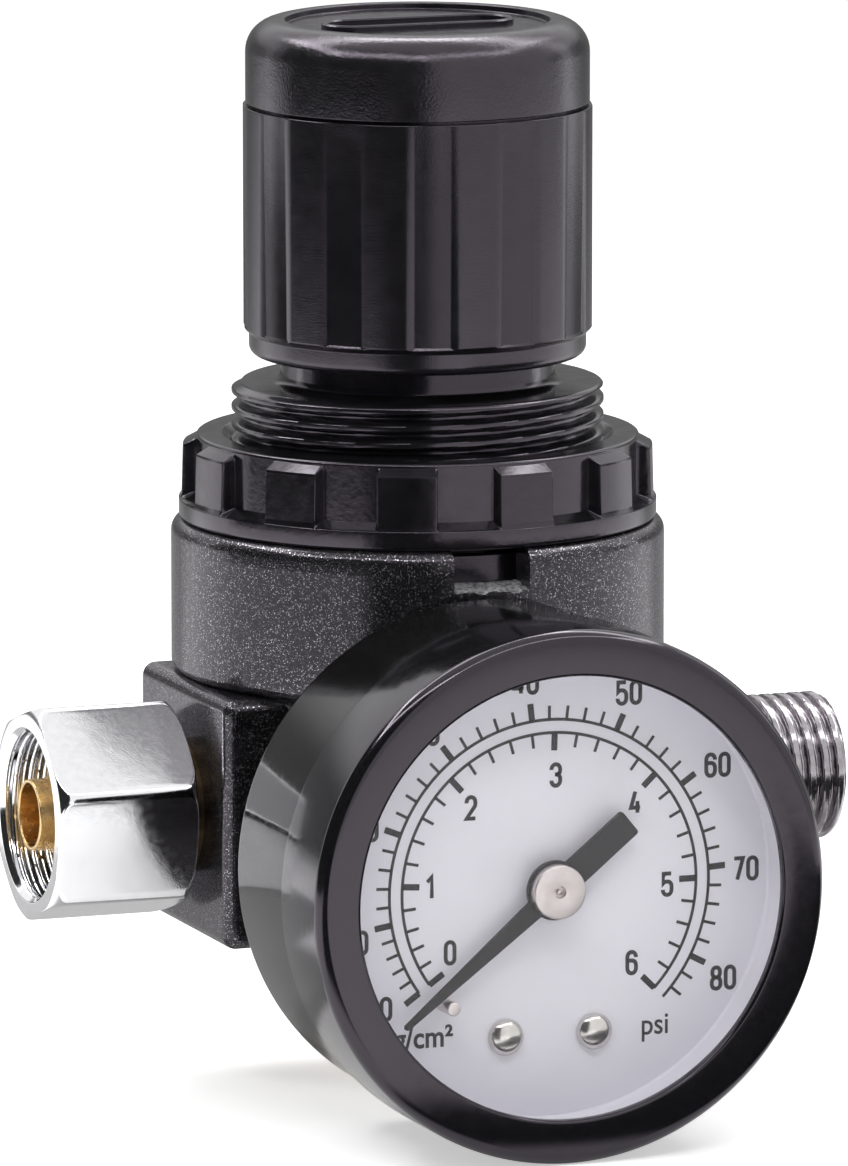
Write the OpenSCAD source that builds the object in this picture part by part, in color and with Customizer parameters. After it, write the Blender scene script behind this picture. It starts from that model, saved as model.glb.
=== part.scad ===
// Air pressure regulator with a push-to-lock knob, a dial gauge and a swivel outlet.
// Millimetres. The pieces are drawn around the crossing of the pipe axis and the knob axis,
// and the whole is then moved so that the origin is on the pipe axis at the shoulder of the
// inlet thread. +X runs out of the inlet, -Y faces the gauge, +Z runs up to the knob.

/* [Body] */
// diameter of the round upper body
body_d = 43.5; // [42.5:0.1:44]
// height of the body rim above the pipe axis
rim_z = 24.7; // [24:0.1:27]
// rounding of the body rim
rim_round = 1.2; // [0.6:0.1:1.6]
// height of the lower edge of the round body above the pipe axis
bowl_z = 11.4; // [10:0.1:13]
// diameter at the foot of the bowl under the round body
bowl_foot_d = 25; // [24:0.5:30]
// length of the port block along the pipe
block_l = 44; // [42:0.5:50]
// depth of the port block from front to back
block_w = 23.4; // [22.5:0.1:25]
// height of the port block
block_h = 22.1; // [21:0.1:24]
// rounding of the port block edges
block_round = 1.2; // [0.5:0.1:2]
// width of the notch in the body rim
notch_w = 6.9; // [4:0.1:10]
// sideways place of the notch in the body rim
notch_x = -0.9; // [-3:0.1:3]
// depth of the notch in the body rim
notch_h = 3.2; // [1:0.1:5]

/* [Diaphragm and chamber] */
// diameter of the body bore above the diaphragm ledge
bore_d = 36.4; // [35.8:0.1:37.5]
// height of the diaphragm ledge above the pipe axis
ledge_z = 15; // [14.6:0.1:15.6]
// diameter of the chamber under the diaphragm
chamber_d = 30; // [28:0.5:31]
// depth of the chamber under the diaphragm
chamber_depth = 3; // [2.6:0.1:3.2]
// thickness of the diaphragm web
diaphragm_t = 1; // [0.6:0.1:1.1]
// thickness of the diaphragm rim bead
bead_t = 1.2; // [1.2:0.1:1.8]
// diameter of the plate above the diaphragm
plate_d = 20; // [19.6:0.2:24]
// thickness of the plate above the diaphragm
plate_t = 2; // [1.2:0.1:2.6]
// diameter of the relief disc under the diaphragm
relief_d = 16; // [12:0.5:20]
// thickness of the relief disc
relief_t = 1.2; // [0.8:0.1:1.5]

/* [Valve] */
// radius of the hole in the valve seat
seat_hole_r = 3; // [2:0.1:3.4]
// height of the valve seat above the pipe axis
seat_z = 3; // [2:0.1:4]
// radius of the valve pin
valve_pin_r = 1.2; // [0.8:0.1:1.6]
// radius of the poppet
poppet_r = 5; // [4.6:0.1:5.6]
// thickness of the rubber seal on the poppet
seal_t = 1.5; // [1:0.1:2]
// wire of the valve spring
valve_wire = 0.6; // [0.4:0.1:0.8]
// full turns of the valve spring
valve_turns = 6; // [4:1:8]
// length of the bottom plug below the port block
plug_head_h = 4; // [3.8:0.1:8]
// width across flats of the bottom plug
plug_flats = 19; // [18:0.5:22]

/* [Bonnet and ring nut] */
// crest diameter of the bonnet thread
thread_d = 32.8; // [32:0.1:33.6]
// length of bonnet thread left bare above the ring nut
thread_bare = 4.55; // [3:0.05:8]
// diameter of the bonnet neck
neck_d = 24.2; // [23.8:0.1:24.6]
// height of the bonnet neck above its thread
neck_h = 15.3; // [15:0.1:18]
// width across flats of the hexagonal guide in the neck
guide_flats = 19; // [18.6:0.1:19.4]
// number of ribs on the ring nut
rib_count = 12; // [6:1:18]
// angle taken up by one rib
rib_angle = 15; // [8:0.5:18]
// thickness of the ring nut outside the bonnet thread
ring_wall = 3.1; // [2.6:0.1:3.3]
// height of a rib over the wall of the ring nut
rib_h = 1.2; // [0.6:0.1:1.4]
// width of the bottom lip outside the wall of the ring nut
lip_w = 1.56; // [1.4:0.02:2]
// height of the ring nut
ring_h = 7.45; // [6:0.05:10]

/* [Adjusting screw and main spring] */
// lead of the adjusting screw for one turn
screw_lead = 1.25; // [1:0.05:1.5]
// radius of the adjusting screw thread
screw_r = 4; // [3.6:0.1:4.1]
// thickness of the spring nut
spring_nut_t = 4; // [3:0.1:5]
// wire of the main spring
main_wire = 2.2; // [1.6:0.1:2.3]
// mean radius of the main spring
main_spring_r = 8.2; // [7:0.1:8.3]
// full turns of the main spring
main_turns = 7; // [5:1:8]

/* [Knob] */
// radius of the knob skirt over its lobes
skirt_r = 15.4; // [15:0.1:17]
// radius of the knob cap
cap_r = 15.13; // [14.8:0.01:16.5]
// radius of the collar at the foot of the knob
collar_r = 14.85; // [14.5:0.05:15.2]
// gap between the knob and the bonnet thread when the knob is up
knob_gap = 2.4; // [2.2:0.1:4]
// height of the knob
knob_h = 29.6; // [29:0.1:34]
// height of the knob cap
cap_h = 7.5; // [5:0.1:10]
// rounding at the top of the knob cap
cap_round = 2.8; // [1:0.1:3]
// number of flutes on the skirt
flute_count = 12; // [6:1:14]
// depth of a flute
flute_depth = 0.7; // [0.3:0.05:0.9]
// radius of the cutter of a flute
flute_cut_r = 7.3; // [4:0.1:10]
// radius of the recess in the top of the knob
recess_r = 11.6; // [8:0.1:11.9]
// depth of the recess in the top of the knob
recess_depth = 0.6; // [0.3:0.1:1.2]
// length of the raised frame in the recess
pill_l = 16; // [8:0.5:20]
// width of the raised frame in the recess
pill_w = 5.4; // [3:0.1:8]
// number of lock teeth
lock_teeth = 24; // [12:12:24]

/* [Inlet and outlet] */
// radius of the pipe thread inside the block
port_r = 4.86; // [4.5:0.02:5.4]
// radius of the inlet thread
inlet_r = 6.58; // [6.2:0.02:7.2]
// length of the inlet thread
inlet_l = 11; // [8:0.5:16]
// width across flats of the inlet collar
inlet_flats = 15; // [14.5:0.5:18]
// length of the inlet collar
inlet_collar_l = 4.5; // [3:0.5:8]
// radius of the air way in the inlet nipple
inlet_bore_r = 3.4; // [2.5:0.1:3.6]
// thickness of the inlet washer
inlet_washer_t = 1; // [0.5:0.1:2]
// width across flats of the swivel nut
swivel_flats = 17.5; // [17:0.1:20]
// length of the swivel nut
swivel_l = 12.9; // [12:0.1:15]
// length of the rounding at the corners of the swivel nut
swivel_round = 2.8; // [2:0.1:3.4]
// roll of the swivel nut about the pipe axis
swivel_roll = -12; // [-30:1:30]
// thickness of the brass washer behind the swivel nut
outlet_washer_t = 1.1; // [0.8:0.1:2]
// radius of the tip of the brass nose
nose_r = 3.15; // [3.05:0.05:3.6]
// radius of the air way in the outlet nipple
outlet_bore_r = 2.8; // [2:0.1:2.9]

/* [Gauge] */
// sideways place of the gauge axis
gauge_x = -2.6; // [-4:0.1:-2]
// height of the gauge axis
gauge_z = -1.5; // [-2.4:0.1:-1]
// distance from the knob axis to the back of the gauge case
case_back = 22.5; // [22.3:0.1:26]
// radius of the gauge case
case_r = 22.37; // [22:0.01:23]
// length of the gauge case behind the bezel
case_bare = 14.1; // [13.5:0.1:16]
// length of the gauge bezel
bezel_l = 9.5; // [9:0.1:11]
// thickness of the gauge bezel round the case
bezel_t = 0.8; // [0.6:0.05:1.6]
// width of the front face of the gauge bezel
bezel_face = 3.93; // [3.4:0.01:5]
// thickness of the gauge lens
lens_t = 1.4; // [1:0.1:1.8]
// distance from the front of the bezel back to the dial
dial_depth = 5.9; // [5.4:0.1:6.2]
// length of the pointer from its axis to its tip
pointer_l = 17.55; // [12:0.05:18]
// length of the pointer tail
tail_l = 8.8; // [4:0.1:9.5]
// rest angle of the pointer, clockwise from straight up
pointer_rest = -129.4; // [-140:0.1:-120]
// width across flats of the gauge stem
stem_flats = 11; // [10.5:0.1:11.6]
// mean radius of the Bourdon tube
tube_r = 14; // [13.8:0.1:15]

/* [Hidden] */
$fn = 96;

// clearances: between fixed pieces, and between pieces that move on each other
slip = 0.1;
run = 0.15;
through = 1;

// heights of the body
body_r = body_d / 2;
bore_r = bore_d / 2;
chamber_z = ledge_z - chamber_depth;
block_bottom = -block_h / 2;
bowl_foot_z = 4.5;
lower_edge = 0.4;
sense_r = 1;

// bottom plug and valve chamber
valve_chamber_r = poppet_r + 1.5;
plug_thread_r = valve_chamber_r + 1;
plug_thread_l = 4.2;
plug_bottom = block_bottom - plug_head_h;
plug_top = block_bottom + plug_thread_l;
plug_floor_t = 1;
pocket_r = valve_chamber_r - 0.6;
pocket_z = plug_bottom + 3;
guide_r = 1.6;
stem_r = guide_r - run;
valve_travel = 1;
o_ring_wire = 1.2;
o_ring_groove_r = plug_thread_r - slip - o_ring_wire;

// valve and diaphragm stack
seat_lip = 0.6;
seat_w = 0.8;
throat_r = seat_hole_r + 1;
throat_floor_z = seat_z + 3;
poppet_t = 2.4;
poppet_neck_r = 2.6;
poppet_neck_l = 2;
seal_z = seat_z - seal_t;
poppet_z = seal_z - poppet_t;
valve_spring_r = (poppet_neck_r + poppet_r) / 2 - 0.2;
relief_z = ledge_z - relief_t;
web_z = ledge_z;
plate_z = web_z + diaphragm_t;
bead_slope = 0.4;
spring_floor_z = plate_z + plate_t;
hub_r = 3;
hub_rise = 0.6;
relief_hole_r = 0.7;

// bonnet
skirt_top_z = rim_z - 0.7;
bonnet_skirt_r = bore_r - slip;
bonnet_bottom_z = ledge_z + bead_t;
thread_r = thread_d / 2;
thread_chamfer = 0.4;
thread_pitch_r = thread_r - 0.4;
thread_start_z = rim_z + ring_h + run;
shoulder_z = rim_z + ring_h + thread_bare;
neck_r = neck_d / 2;
neck_edge = 0.5;
neck_top_z = shoulder_z + neck_h;
roof_t = 3;
bonnet_wall = 1.5;
spring_room_r = thread_pitch_r - bonnet_wall;
spring_room_top = shoulder_z - roof_t;
screw_hole_r = screw_r + 0.3;
vent_r = 0.6;
vent_z = shoulder_z + 1.4;

// ring nut, with heights above its foot
ring_bore_r = thread_pitch_r + slip;
ring_wall_r = thread_r + ring_wall;
ring_edge = 0.5;
lip_r = ring_wall_r + lip_w;
lip_h = 1.75;
lip_slope_h = 0.65;
rib_r = ring_wall_r + rib_h;
rib_root = 1;
rib_top_h = ring_h - 0.9;
rib_edge = 0.4;
ring_mouth = 1.2;

// adjusting screw, nut and spring
washer_t = 0.8;
thrust_play = 0.05;
flange_t = 1.8;
flange_r = 7;
roof_z = neck_top_z - roof_t;
flange_z = roof_z - washer_t - flange_t;
screw_turns = 4;
nut_travel = screw_turns * screw_lead;
nut_top_z = flange_z - 0.2;
nut_z = nut_top_z - spring_nut_t;
screw_end_z = nut_z - nut_travel - 1;
journal_r = screw_hole_r - run;
journal_top_z = neck_top_z + 0.2;
drive_flats = 2 * screw_r * 0.87;
drive_top_z = neck_top_z + 11;
spring_end_gap = 0.15;

// knob
knob_z = shoulder_z + knob_gap;
knob_top_z = knob_z + knob_h;
collar_h = 2;
collar_edge = 0.8;
collar_top_z = knob_z + collar_h;
lobe_edge = 0.35;
seam_z = knob_top_z - cap_h;
seam_gap = 0.25;
seam_r = skirt_r - flute_depth - 0.15;
push_travel = 2;
knob_bore_r = neck_r + 0.8;
tooth_h = 2;
tooth_angle = 360 / lock_teeth * 0.4;
tooth_root = 0.3;
bonnet_teeth_z = knob_z + 3.9;
bonnet_tooth_r = neck_r + 0.5;
knob_teeth_z = bonnet_teeth_z + tooth_h + 0.2;
knob_tooth_r = neck_r + 0.2;
bead_z = bonnet_teeth_z - 1.1;
bead_h = 0.8;
bead_r = neck_r + 0.25;
hub_outer_r = 6.2;
hub_root = 0.5;
hub_bottom_z = neck_top_z + push_travel + 0.4;
socket_top_z = drive_top_z + push_travel + 0.2;
knob_roof_z = knob_top_z - 3.3;
pill_rib = 0.6;
pill_root = 0.2;
pill_drop = 0.1;

// inlet and outlet, as distances from the knob axis
block_end = block_l / 2;
port_l = 9;
port_tip = block_end - port_l;
nipple_tip = port_tip + 0.5;
passage_r = 3.5;
outlet_way_x = 10;
outlet_way_r = 2.4;
inlet_collar_x = block_end + inlet_washer_t;
shoulder_x = inlet_collar_x + inlet_collar_l;
inlet_end = shoulder_x + inlet_l;
inlet_chamfer = 0.8;
bore_chamfer = 0.7;
inlet_washer_r = 7;
outlet_washer_r = 5.9;
swivel_gap = 0.4;
swivel_back = block_end + outlet_washer_t + swivel_gap;
swivel_mouth = swivel_back + swivel_l;
swivel_thread_r = 7.2;
swivel_relief_r = 7.7;
swivel_floor = swivel_back + 3.4;
swivel_relief_l = 4;
swivel_neck_r = port_r + 0.4;
swivel_corner_r = flats_r(swivel_flats);
swivel_end_r = swivel_flats / 2 - 0.15;
mouth_r = 7.7;
mouth_chamfer = mouth_r - swivel_thread_r;
nose_flange_back = swivel_floor + run;
nose_flange_r = swivel_thread_r - run;
nose_flange_l = 1.7;
nose_shoulder = nose_flange_back + nose_flange_l;
nose_shoulder_r = nose_flange_r - 0.4;
nose_tip = swivel_mouth - 0.2;
nose_land = 1.6;

// gauge: distances from the knob axis towards the front
boss_r = 7.5;
boss_root = block_w / 2 - 2;
boss_front = block_w / 2 + 2.8;
gauge_port_end = valve_chamber_r + 2;
sense_y = gauge_port_end + 1.6;
stem_tip = gauge_port_end + 0.3;
case_wall = 0.8;
case_floor = case_back + case_wall;
case_edge = 1;
bezel_back = case_back + case_bare;
bezel_front = bezel_back + bezel_l;
bezel_r = case_r + bezel_t;
bezel_inner_r = case_r + slip / 2;
bezel_edge = 0.3;
bezel_lip_t = 0.9;
bezel_round = 1.1;
aperture_r = bezel_r - bezel_face;
lens_front = bezel_front - bezel_lip_t;
lens_back = lens_front - lens_t;
lens_r = case_r - 0.2;
gasket_t = 0.6;
gasket_inner_r = lens_r - 1.7;
case_front = lens_back - gasket_t;
dial_front = bezel_front - dial_depth;
dial_t = 0.5;
dial_back = dial_front - dial_t;
dial_r = case_r - case_wall - 0.9;

// gauge movement
socket_front = case_back + 7.5;
socket_half_w = 5.5;
socket_top = 10.4;
socket_foot = -15;
plate_thick = 0.8;
plate_w = 16;
plate_top = 7;
plate_foot = -16;
plate_corner = 1.5;
rear_plate = socket_front;
dial_post_l = 2.2;
front_plate = dial_back - dial_post_l - plate_thick;
gear_z = rear_plate + 3.2;
gear_t = 1.4;
link_z = gear_z - 0.8;
link_t = 0.6;
gear_module = 0.3;
pinion_teeth = 12;
gear_ratio = 6;
sector_teeth = pinion_teeth * gear_ratio;
pinion_pitch_r = gear_module * pinion_teeth / 2;
sector_pitch_r = gear_module * sector_teeth / 2;
gear_play = 0.06;
sector_drop = pinion_pitch_r + sector_pitch_r + gear_play;
tooth_addendum = 0.75 * gear_module;
tooth_dedendum = 1.15 * gear_module;
tooth_share = 0.4;
pressure_angle = 20;
arbor_r = 0.75;
arbor_hole_r = arbor_r + slip;
arbor_end = rear_plate + 0.2;
pinion_over = 0.1;
pointer_sweep = 265;
sector_sweep = pointer_sweep / gear_ratio;
sector_half = sector_sweep / 2 + 7;
sector_hub_r = 2;
sector_hole_r = 1.1;
sector_hole_reach = 6.5;
sector_hole_angle = 15;
arm_w = 2.4;
arm_end = 1.6;
arm_slot = 1.2;
arm_reach = 5.5;
arm_middle = -40;
arm_rest = arm_middle - sector_sweep / 2;
link_angle = arm_middle + 90;
link_l = 12;
link_w = 1.4;
link_eye_r = 1.1;
link_pin_r = 0.5;
tip_pin_r = 0.55;
tip_pin = [arm_reach * cos(arm_rest) + link_l * cos(link_angle),
    -sector_drop + arm_reach * sin(arm_rest) + link_l * sin(link_angle)];
arm_pin = [arm_reach * cos(arm_rest), -sector_drop + arm_reach * sin(arm_rest)];
pillar_places = [[5.5, 4.5], [-5.5, 4.5], [-5, -14.5]];
pillar_r = 1.1;
dial_screw_places = [[4.05, -12.8], [-4.05, -12.8]];
dial_screw_r = 0.9;
dial_screw_l = 2;
dial_dome_r = 1.6;
dial_dome_base = 0.2;
dial_dome_h = 0.8;
case_screw_places = [[0, 8.6], [0, -9.5]];
case_screw_r = 1;
case_screw_l = 4;
screw_head_r = 1.8;
screw_head_t = 1;
screw_slot = 0.5;
tube_mid = case_back + 4.1;
tube_w = 5;
tube_thick = 1.8;
tube_wall = 0.35;
tube_corner = 0.05;
tube_start = 248;
tube_end = -33;
tube_seat_angle = 12;
tip_angle = 10;
tip_grow = 0.1;
duct_r = sense_r * 0.8;
duct_reach = tube_r * 0.92;
pointer_t = 0.5;
pointer_back = dial_front + 1.2;
pointer_base_r = 2.6;
hub_cap_r = 2.35;
hub_cap_t = 1;
hub_cap_back = pointer_back + pointer_t;
hub_cap_front = hub_cap_back + hub_cap_t;
dimple_r = 0.5;
dimple_depth = 0.4;
pointer_point = 0.2;
pointer_root_w = 1.9;
pointer_tip_w = 0.5;
tail_w = 2.5;
stop_pin_r = 0.6;
stop_reach = 13.6;
stop_angle = pointer_rest - 4.9;
stop_pin_h = 2.9;
hair_turns = 3;
hair_wire = 0.16;
hair_w = 0.5;
hair_start_r = 1.45;
hair_end_r = 4.6;
hair_z = front_plate - 1.5;
collet_r = hair_start_r - 0.15;
collet_over = 0.1;

function arc(centre, r, from, to, steps) =
    [for (i = [0 : steps]) let (a = from + (to - from) * i / steps) centre + r * [cos(a), sin(a)]];

function flats_r(flats) = flats / (2 * cos(30));

function involute(base_r, turn) =
    base_r * [cos(turn) + turn * PI / 180 * sin(turn), sin(turn) - turn * PI / 180 * cos(turn)];

function spin2(p, a) = [p[0] * cos(a) - p[1] * sin(a), p[0] * sin(a) + p[1] * cos(a)];

// one gear tooth, standing on the +X axis, from its root to its tip and back
function tooth_points(teeth, pitch_r) =
    let (base_r = pitch_r * cos(pressure_angle),
        root_r = pitch_r - tooth_dedendum,
        tip_r = pitch_r + tooth_addendum,
        low_r = max(base_r, root_r),
        pitch_turn = sqrt(pow(pitch_r / base_r, 2) - 1) * 180 / PI,
        pitch_point = involute(base_r, pitch_turn),
        lean = atan2(pitch_point[1], pitch_point[0]),
        half = 360 / teeth * tooth_share / 2,
        flank = [for (i = [0 : 3])
            let (r = low_r + (tip_r - low_r) * i / 3,
                turn = sqrt(max(0, pow(r / base_r, 2) - 1)) * 180 / PI)
            spin2(involute(base_r, turn), -half - lean)],
        foot = spin2([root_r, 0], atan2(flank[0][1], flank[0][0])))
    concat([foot], flank, [for (i = [3 : -1 : 0]) [flank[i][0], -flank[i][1]]], [[foot[0], -foot[1]]]);

// a closed tube of round wire along a helix, with flat ends
module coil(mean_r, wire, low, high, turns) {
    ring_steps = 10;
    steps = turns * 20;
    rise = (high - low - wire) / steps;
    points = [for (i = [0 : steps]) for (j = [0 : ring_steps - 1])
        let (a = 360 * i / 20, b = 360 * j / ring_steps, r = mean_r + wire / 2 * cos(b))
        [r * cos(a), r * sin(a), low + wire / 2 + rise * i + wire / 2 * sin(b)]];
    sides = [for (i = [0 : steps - 1]) for (j = [0 : ring_steps - 1])
        let (k = (j + 1) % ring_steps)
        [i * ring_steps + j, (i + 1) * ring_steps + j, (i + 1) * ring_steps + k, i * ring_steps + k]];
    first_end = [for (j = [0 : ring_steps - 1]) j];
    last_end = [for (j = [ring_steps - 1 : -1 : 0]) steps * ring_steps + j];
    polyhedron(points = points, faces = concat([first_end], sides, [last_end]));
}

module pipe_frame() rotate([0, 90, 0]) children();
module outlet_frame() rotate([0, -90, 0]) children();
module gauge_frame() translate([gauge_x, 0, gauge_z]) rotate([90, 0, 0]) children();
module part_frame() translate([-shoulder_x, 0, 0]) children();

module rod(r, from, to) translate([0, 0, from]) cylinder(r = r, h = to - from);
module hex_rod(flats, from, to) translate([0, 0, from]) cylinder(r = flats_r(flats), h = to - from, $fn = 6);
module washer(outer, inner, from, to)
    difference() {
        rod(outer, from, to);
        rod(inner, from - through, to + through);
    }

module rounded_square(w, h, r) {
    square([w - 2 * r, h], center = true);
    square([w, h - 2 * r], center = true);
    for (x = [-1, 1]) for (y = [-1, 1]) translate([x * (w / 2 - r), y * (h / 2 - r)]) circle(r);
}

module port_block()
    intersection() {
        linear_extrude(block_h, center = true)
            rounded_square(block_l, block_w, block_round);
        rotate([90, 0, 0]) linear_extrude(block_w, center = true)
            rounded_square(block_l, block_h, block_round);
        rotate([90, 0, 90]) linear_extrude(block_l, center = true)
            rounded_square(block_w, block_h, block_round);
    }

module body()
    color([0.06, 0.06, 0.07])
    difference() {
        union() {
            rotate_extrude() polygon(concat(
                [[0, bowl_foot_z], [bowl_foot_d / 2, bowl_foot_z], [body_r - lower_edge, bowl_z],
                    [body_r, bowl_z + lower_edge]],
                arc([body_r - rim_round, rim_z - rim_round], rim_round, 0, 90, 5),
                [[0, rim_z]]));
            port_block();
            gauge_frame() rod(boss_r, boss_root, boss_front);
        }
        rod(bore_r, ledge_z, rim_z + through);
        rod(chamber_d / 2, chamber_z, ledge_z + through);
        rod(throat_r, throat_floor_z, chamber_z + through);
        rod(seat_hole_r, 0, throat_floor_z + through);
        difference() {
            rod(valve_chamber_r, plug_top - through, seat_z + seat_lip);
            washer(seat_hole_r + seat_w, seat_hole_r, seat_z, seat_z + seat_lip + through);
        }
        rod(plug_thread_r, block_bottom - through, plug_top);
        pipe_frame() rod(passage_r, 0, port_tip + through);
        pipe_frame() rod(port_r + slip, port_tip, block_end + through);
        outlet_frame() rod(port_r + slip, port_tip, block_end + through);
        outlet_frame() rod(passage_r, outlet_way_x - outlet_way_r, port_tip + through);
        translate([-outlet_way_x, 0, 0]) rod(outlet_way_r, 0, chamber_z + through);
        gauge_frame() rod(port_r + slip, gauge_port_end, boss_front + through);
        translate([gauge_x, -sense_y, gauge_z]) rod(sense_r, 0, chamber_z - gauge_z + through);
        translate([notch_x - notch_w / 2, -body_r - through, rim_z - notch_h])
            cube([notch_w, body_r, notch_h + through]);
    }

module ring_of(count, shift) for (i = [0 : count - 1]) rotate(shift + i * 360 / count) children();

module wedge(inner, outer, angle, from, to)
    rotate(-angle / 2) rotate_extrude(angle = angle)
        polygon([[inner, from], [outer, from], [outer, to], [inner, to]]);

module bonnet()
    color([0.07, 0.07, 0.07])
    difference() {
        union() {
            rotate_extrude() polygon([[0, bonnet_bottom_z], [bonnet_skirt_r, bonnet_bottom_z],
                [bonnet_skirt_r, skirt_top_z], [thread_pitch_r, skirt_top_z], [thread_pitch_r, thread_start_z],
                [thread_r, thread_start_z], [thread_r, shoulder_z - thread_chamfer],
                [thread_r - thread_chamfer, shoulder_z], [neck_r, shoulder_z],
                [neck_r, neck_top_z - neck_edge], [neck_r - neck_edge, neck_top_z], [0, neck_top_z]]);
            ring_of(lock_teeth, 0)
                wedge(neck_r - tooth_root, bonnet_tooth_r, tooth_angle,
                    bonnet_teeth_z, bonnet_teeth_z + tooth_h);
        }
        rod(spring_room_r, bonnet_bottom_z - through, spring_room_top);
        hex_rod(guide_flats, spring_room_top - through, roof_z);
        rod(screw_hole_r, roof_z - through, neck_top_z + through);
        translate([0, 0, vent_z]) rotate([0, 90, 0]) rod(vent_r, 0, neck_r + through);
    }

module ring_nut()
    color([0.05, 0.05, 0.05])
    translate([0, 0, rim_z])
    difference() {
        union() {
            rotate_extrude() polygon([[0, 0], [lip_r - ring_edge, 0], [lip_r, ring_edge], [lip_r, lip_h],
                [ring_wall_r, lip_h + lip_slope_h], [ring_wall_r, ring_h - ring_edge],
                [ring_wall_r - ring_edge, ring_h], [0, ring_h]]);
            ring_of(rib_count, 90 / rib_count) rotate(-rib_angle / 2) rotate_extrude(angle = rib_angle)
                polygon([[ring_wall_r - rib_root, ring_edge], [rib_r, ring_edge], [rib_r, rib_top_h],
                    [rib_r - rib_edge, rib_top_h + rib_edge],
                    [ring_wall_r - rib_root, rib_top_h + ring_edge]]);
        }
        rod(ring_bore_r, -through, ring_h + through);
        translate([0, 0, ring_h - ring_mouth])
            cylinder(r1 = ring_bore_r, r2 = ring_bore_r + 2 * ring_mouth, h = 2 * ring_mouth);
    }

module bottom_plug()
    color([0.72, 0.6, 0.3])
    difference() {
        union() {
            hex_rod(plug_flats, plug_bottom, block_bottom);
            rod(plug_thread_r - slip, block_bottom, plug_top);
        }
        rod(pocket_r, pocket_z, plug_top + through);
        rod(guide_r, plug_bottom + plug_floor_t, pocket_z + through);
        translate([0, 0, plug_top]) washer(plug_thread_r + through, o_ring_groove_r, -o_ring_wire, through);
    }

module plug_o_ring()
    color([0.02, 0.02, 0.02])
    translate([0, 0, plug_top - o_ring_wire / 2])
    rotate_extrude() translate([o_ring_groove_r + (o_ring_wire + slip) / 2, 0])
        circle((o_ring_wire - slip) / 2);

module inlet_nipple()
    color([0.8, 0.8, 0.82])
    pipe_frame()
    difference() {
        union() {
            rod(port_r, nipple_tip, inlet_collar_x);
            hex_rod(inlet_flats, inlet_collar_x, shoulder_x);
            rod(inlet_r, shoulder_x, inlet_end - inlet_chamfer);
            translate([0, 0, inlet_end - inlet_chamfer])
                cylinder(r1 = inlet_r, r2 = inlet_r - inlet_chamfer, h = inlet_chamfer);
        }
        rod(inlet_bore_r, port_tip, inlet_end + through);
        translate([0, 0, inlet_end - bore_chamfer])
            cylinder(r1 = inlet_bore_r, r2 = inlet_bore_r + 2 * bore_chamfer, h = 2 * bore_chamfer);
    }

module inlet_washer()
    color([0.7, 0.5, 0.3])
    pipe_frame() washer(inlet_washer_r, port_r + slip, block_end, inlet_collar_x);

module outlet_nipple()
    color([0.8, 0.62, 0.3])
    outlet_frame()
    difference() {
        union() {
            rod(port_r, nipple_tip, nose_flange_back);
            rod(nose_flange_r, nose_flange_back, nose_shoulder);
            translate([0, 0, nose_shoulder])
                cylinder(r1 = nose_shoulder_r, r2 = nose_r, h = nose_tip - nose_land - nose_shoulder);
            rod(nose_r, nose_tip - nose_land, nose_tip);
        }
        rod(outlet_bore_r, port_tip, nose_tip + through);
    }

module outlet_washer()
    color([0.8, 0.62, 0.3])
    outlet_frame() washer(outlet_washer_r, port_r + slip, block_end, block_end + outlet_washer_t);

// a quarter of an ellipse from the end face of the swivel nut, at 0, to its corners, at 90
function swivel_corner(a) =
    [swivel_end_r + (swivel_corner_r + slip - swivel_end_r) * sin(a), swivel_round * (1 - cos(a))];

// the corners of the hexagon are rounded off at both ends by a turned outline
module swivel_nut()
    color([0.8, 0.8, 0.82])
    outlet_frame()
    difference() {
        intersection() {
            rotate(swivel_roll) hex_rod(swivel_flats, swivel_back, swivel_mouth);
            rotate_extrude() polygon(concat(
                [[0, swivel_back]],
                [for (a = [0 : 15 : 90]) [0, swivel_back] + swivel_corner(a)],
                [for (a = [90 : -15 : 0]) let (p = swivel_corner(a)) [p[0], swivel_mouth - p[1]]],
                [[0, swivel_mouth]]));
        }
        rod(swivel_neck_r, swivel_back - through, swivel_floor + through);
        rod(swivel_relief_r, swivel_floor, swivel_floor + swivel_relief_l);
        rod(swivel_thread_r, swivel_floor, swivel_mouth + through);
        translate([0, 0, swivel_mouth - mouth_chamfer])
            cylinder(r1 = swivel_thread_r, r2 = swivel_thread_r + 2 * mouth_chamfer, h = 2 * mouth_chamfer);
    }

module diaphragm()
    color([0.1, 0.1, 0.1])
    rotate_extrude() polygon([[hub_r + slip, web_z], [bore_r - slip, web_z], [bore_r - slip, web_z + bead_t],
        [spring_room_r + bead_slope / 2, web_z + bead_t], [spring_room_r - bead_slope / 2, plate_z],
        [hub_r + slip, plate_z]]);

module diaphragm_plate()
    color([0.75, 0.75, 0.75])
    difference() {
        rod(plate_d / 2, plate_z, spring_floor_z);
        rod(hub_r + slip, plate_z - through, spring_floor_z + through);
    }

module relief_disc()
    color([0.8, 0.62, 0.3])
    difference() {
        union() {
            rod(relief_d / 2, relief_z, ledge_z);
            rod(hub_r, relief_z, spring_floor_z + hub_rise);
        }
        rod(relief_hole_r, relief_z - through, spring_floor_z + hub_rise + through);
    }

module main_spring()
    color([0.5, 0.5, 0.52])
    coil(main_spring_r, main_wire, spring_floor_z + spring_end_gap, nut_z - spring_end_gap, main_turns);

module valve_spring()
    color([0.6, 0.6, 0.62])
    coil(valve_spring_r, valve_wire, pocket_z + spring_end_gap, poppet_z - spring_end_gap, valve_turns);

module spring_nut()
    color([0.8, 0.62, 0.3])
    difference() {
        hex_rod(guide_flats - 4 * slip, nut_z, nut_top_z);
        rod(screw_r + run, nut_z - through, nut_top_z + through);
    }

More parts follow.
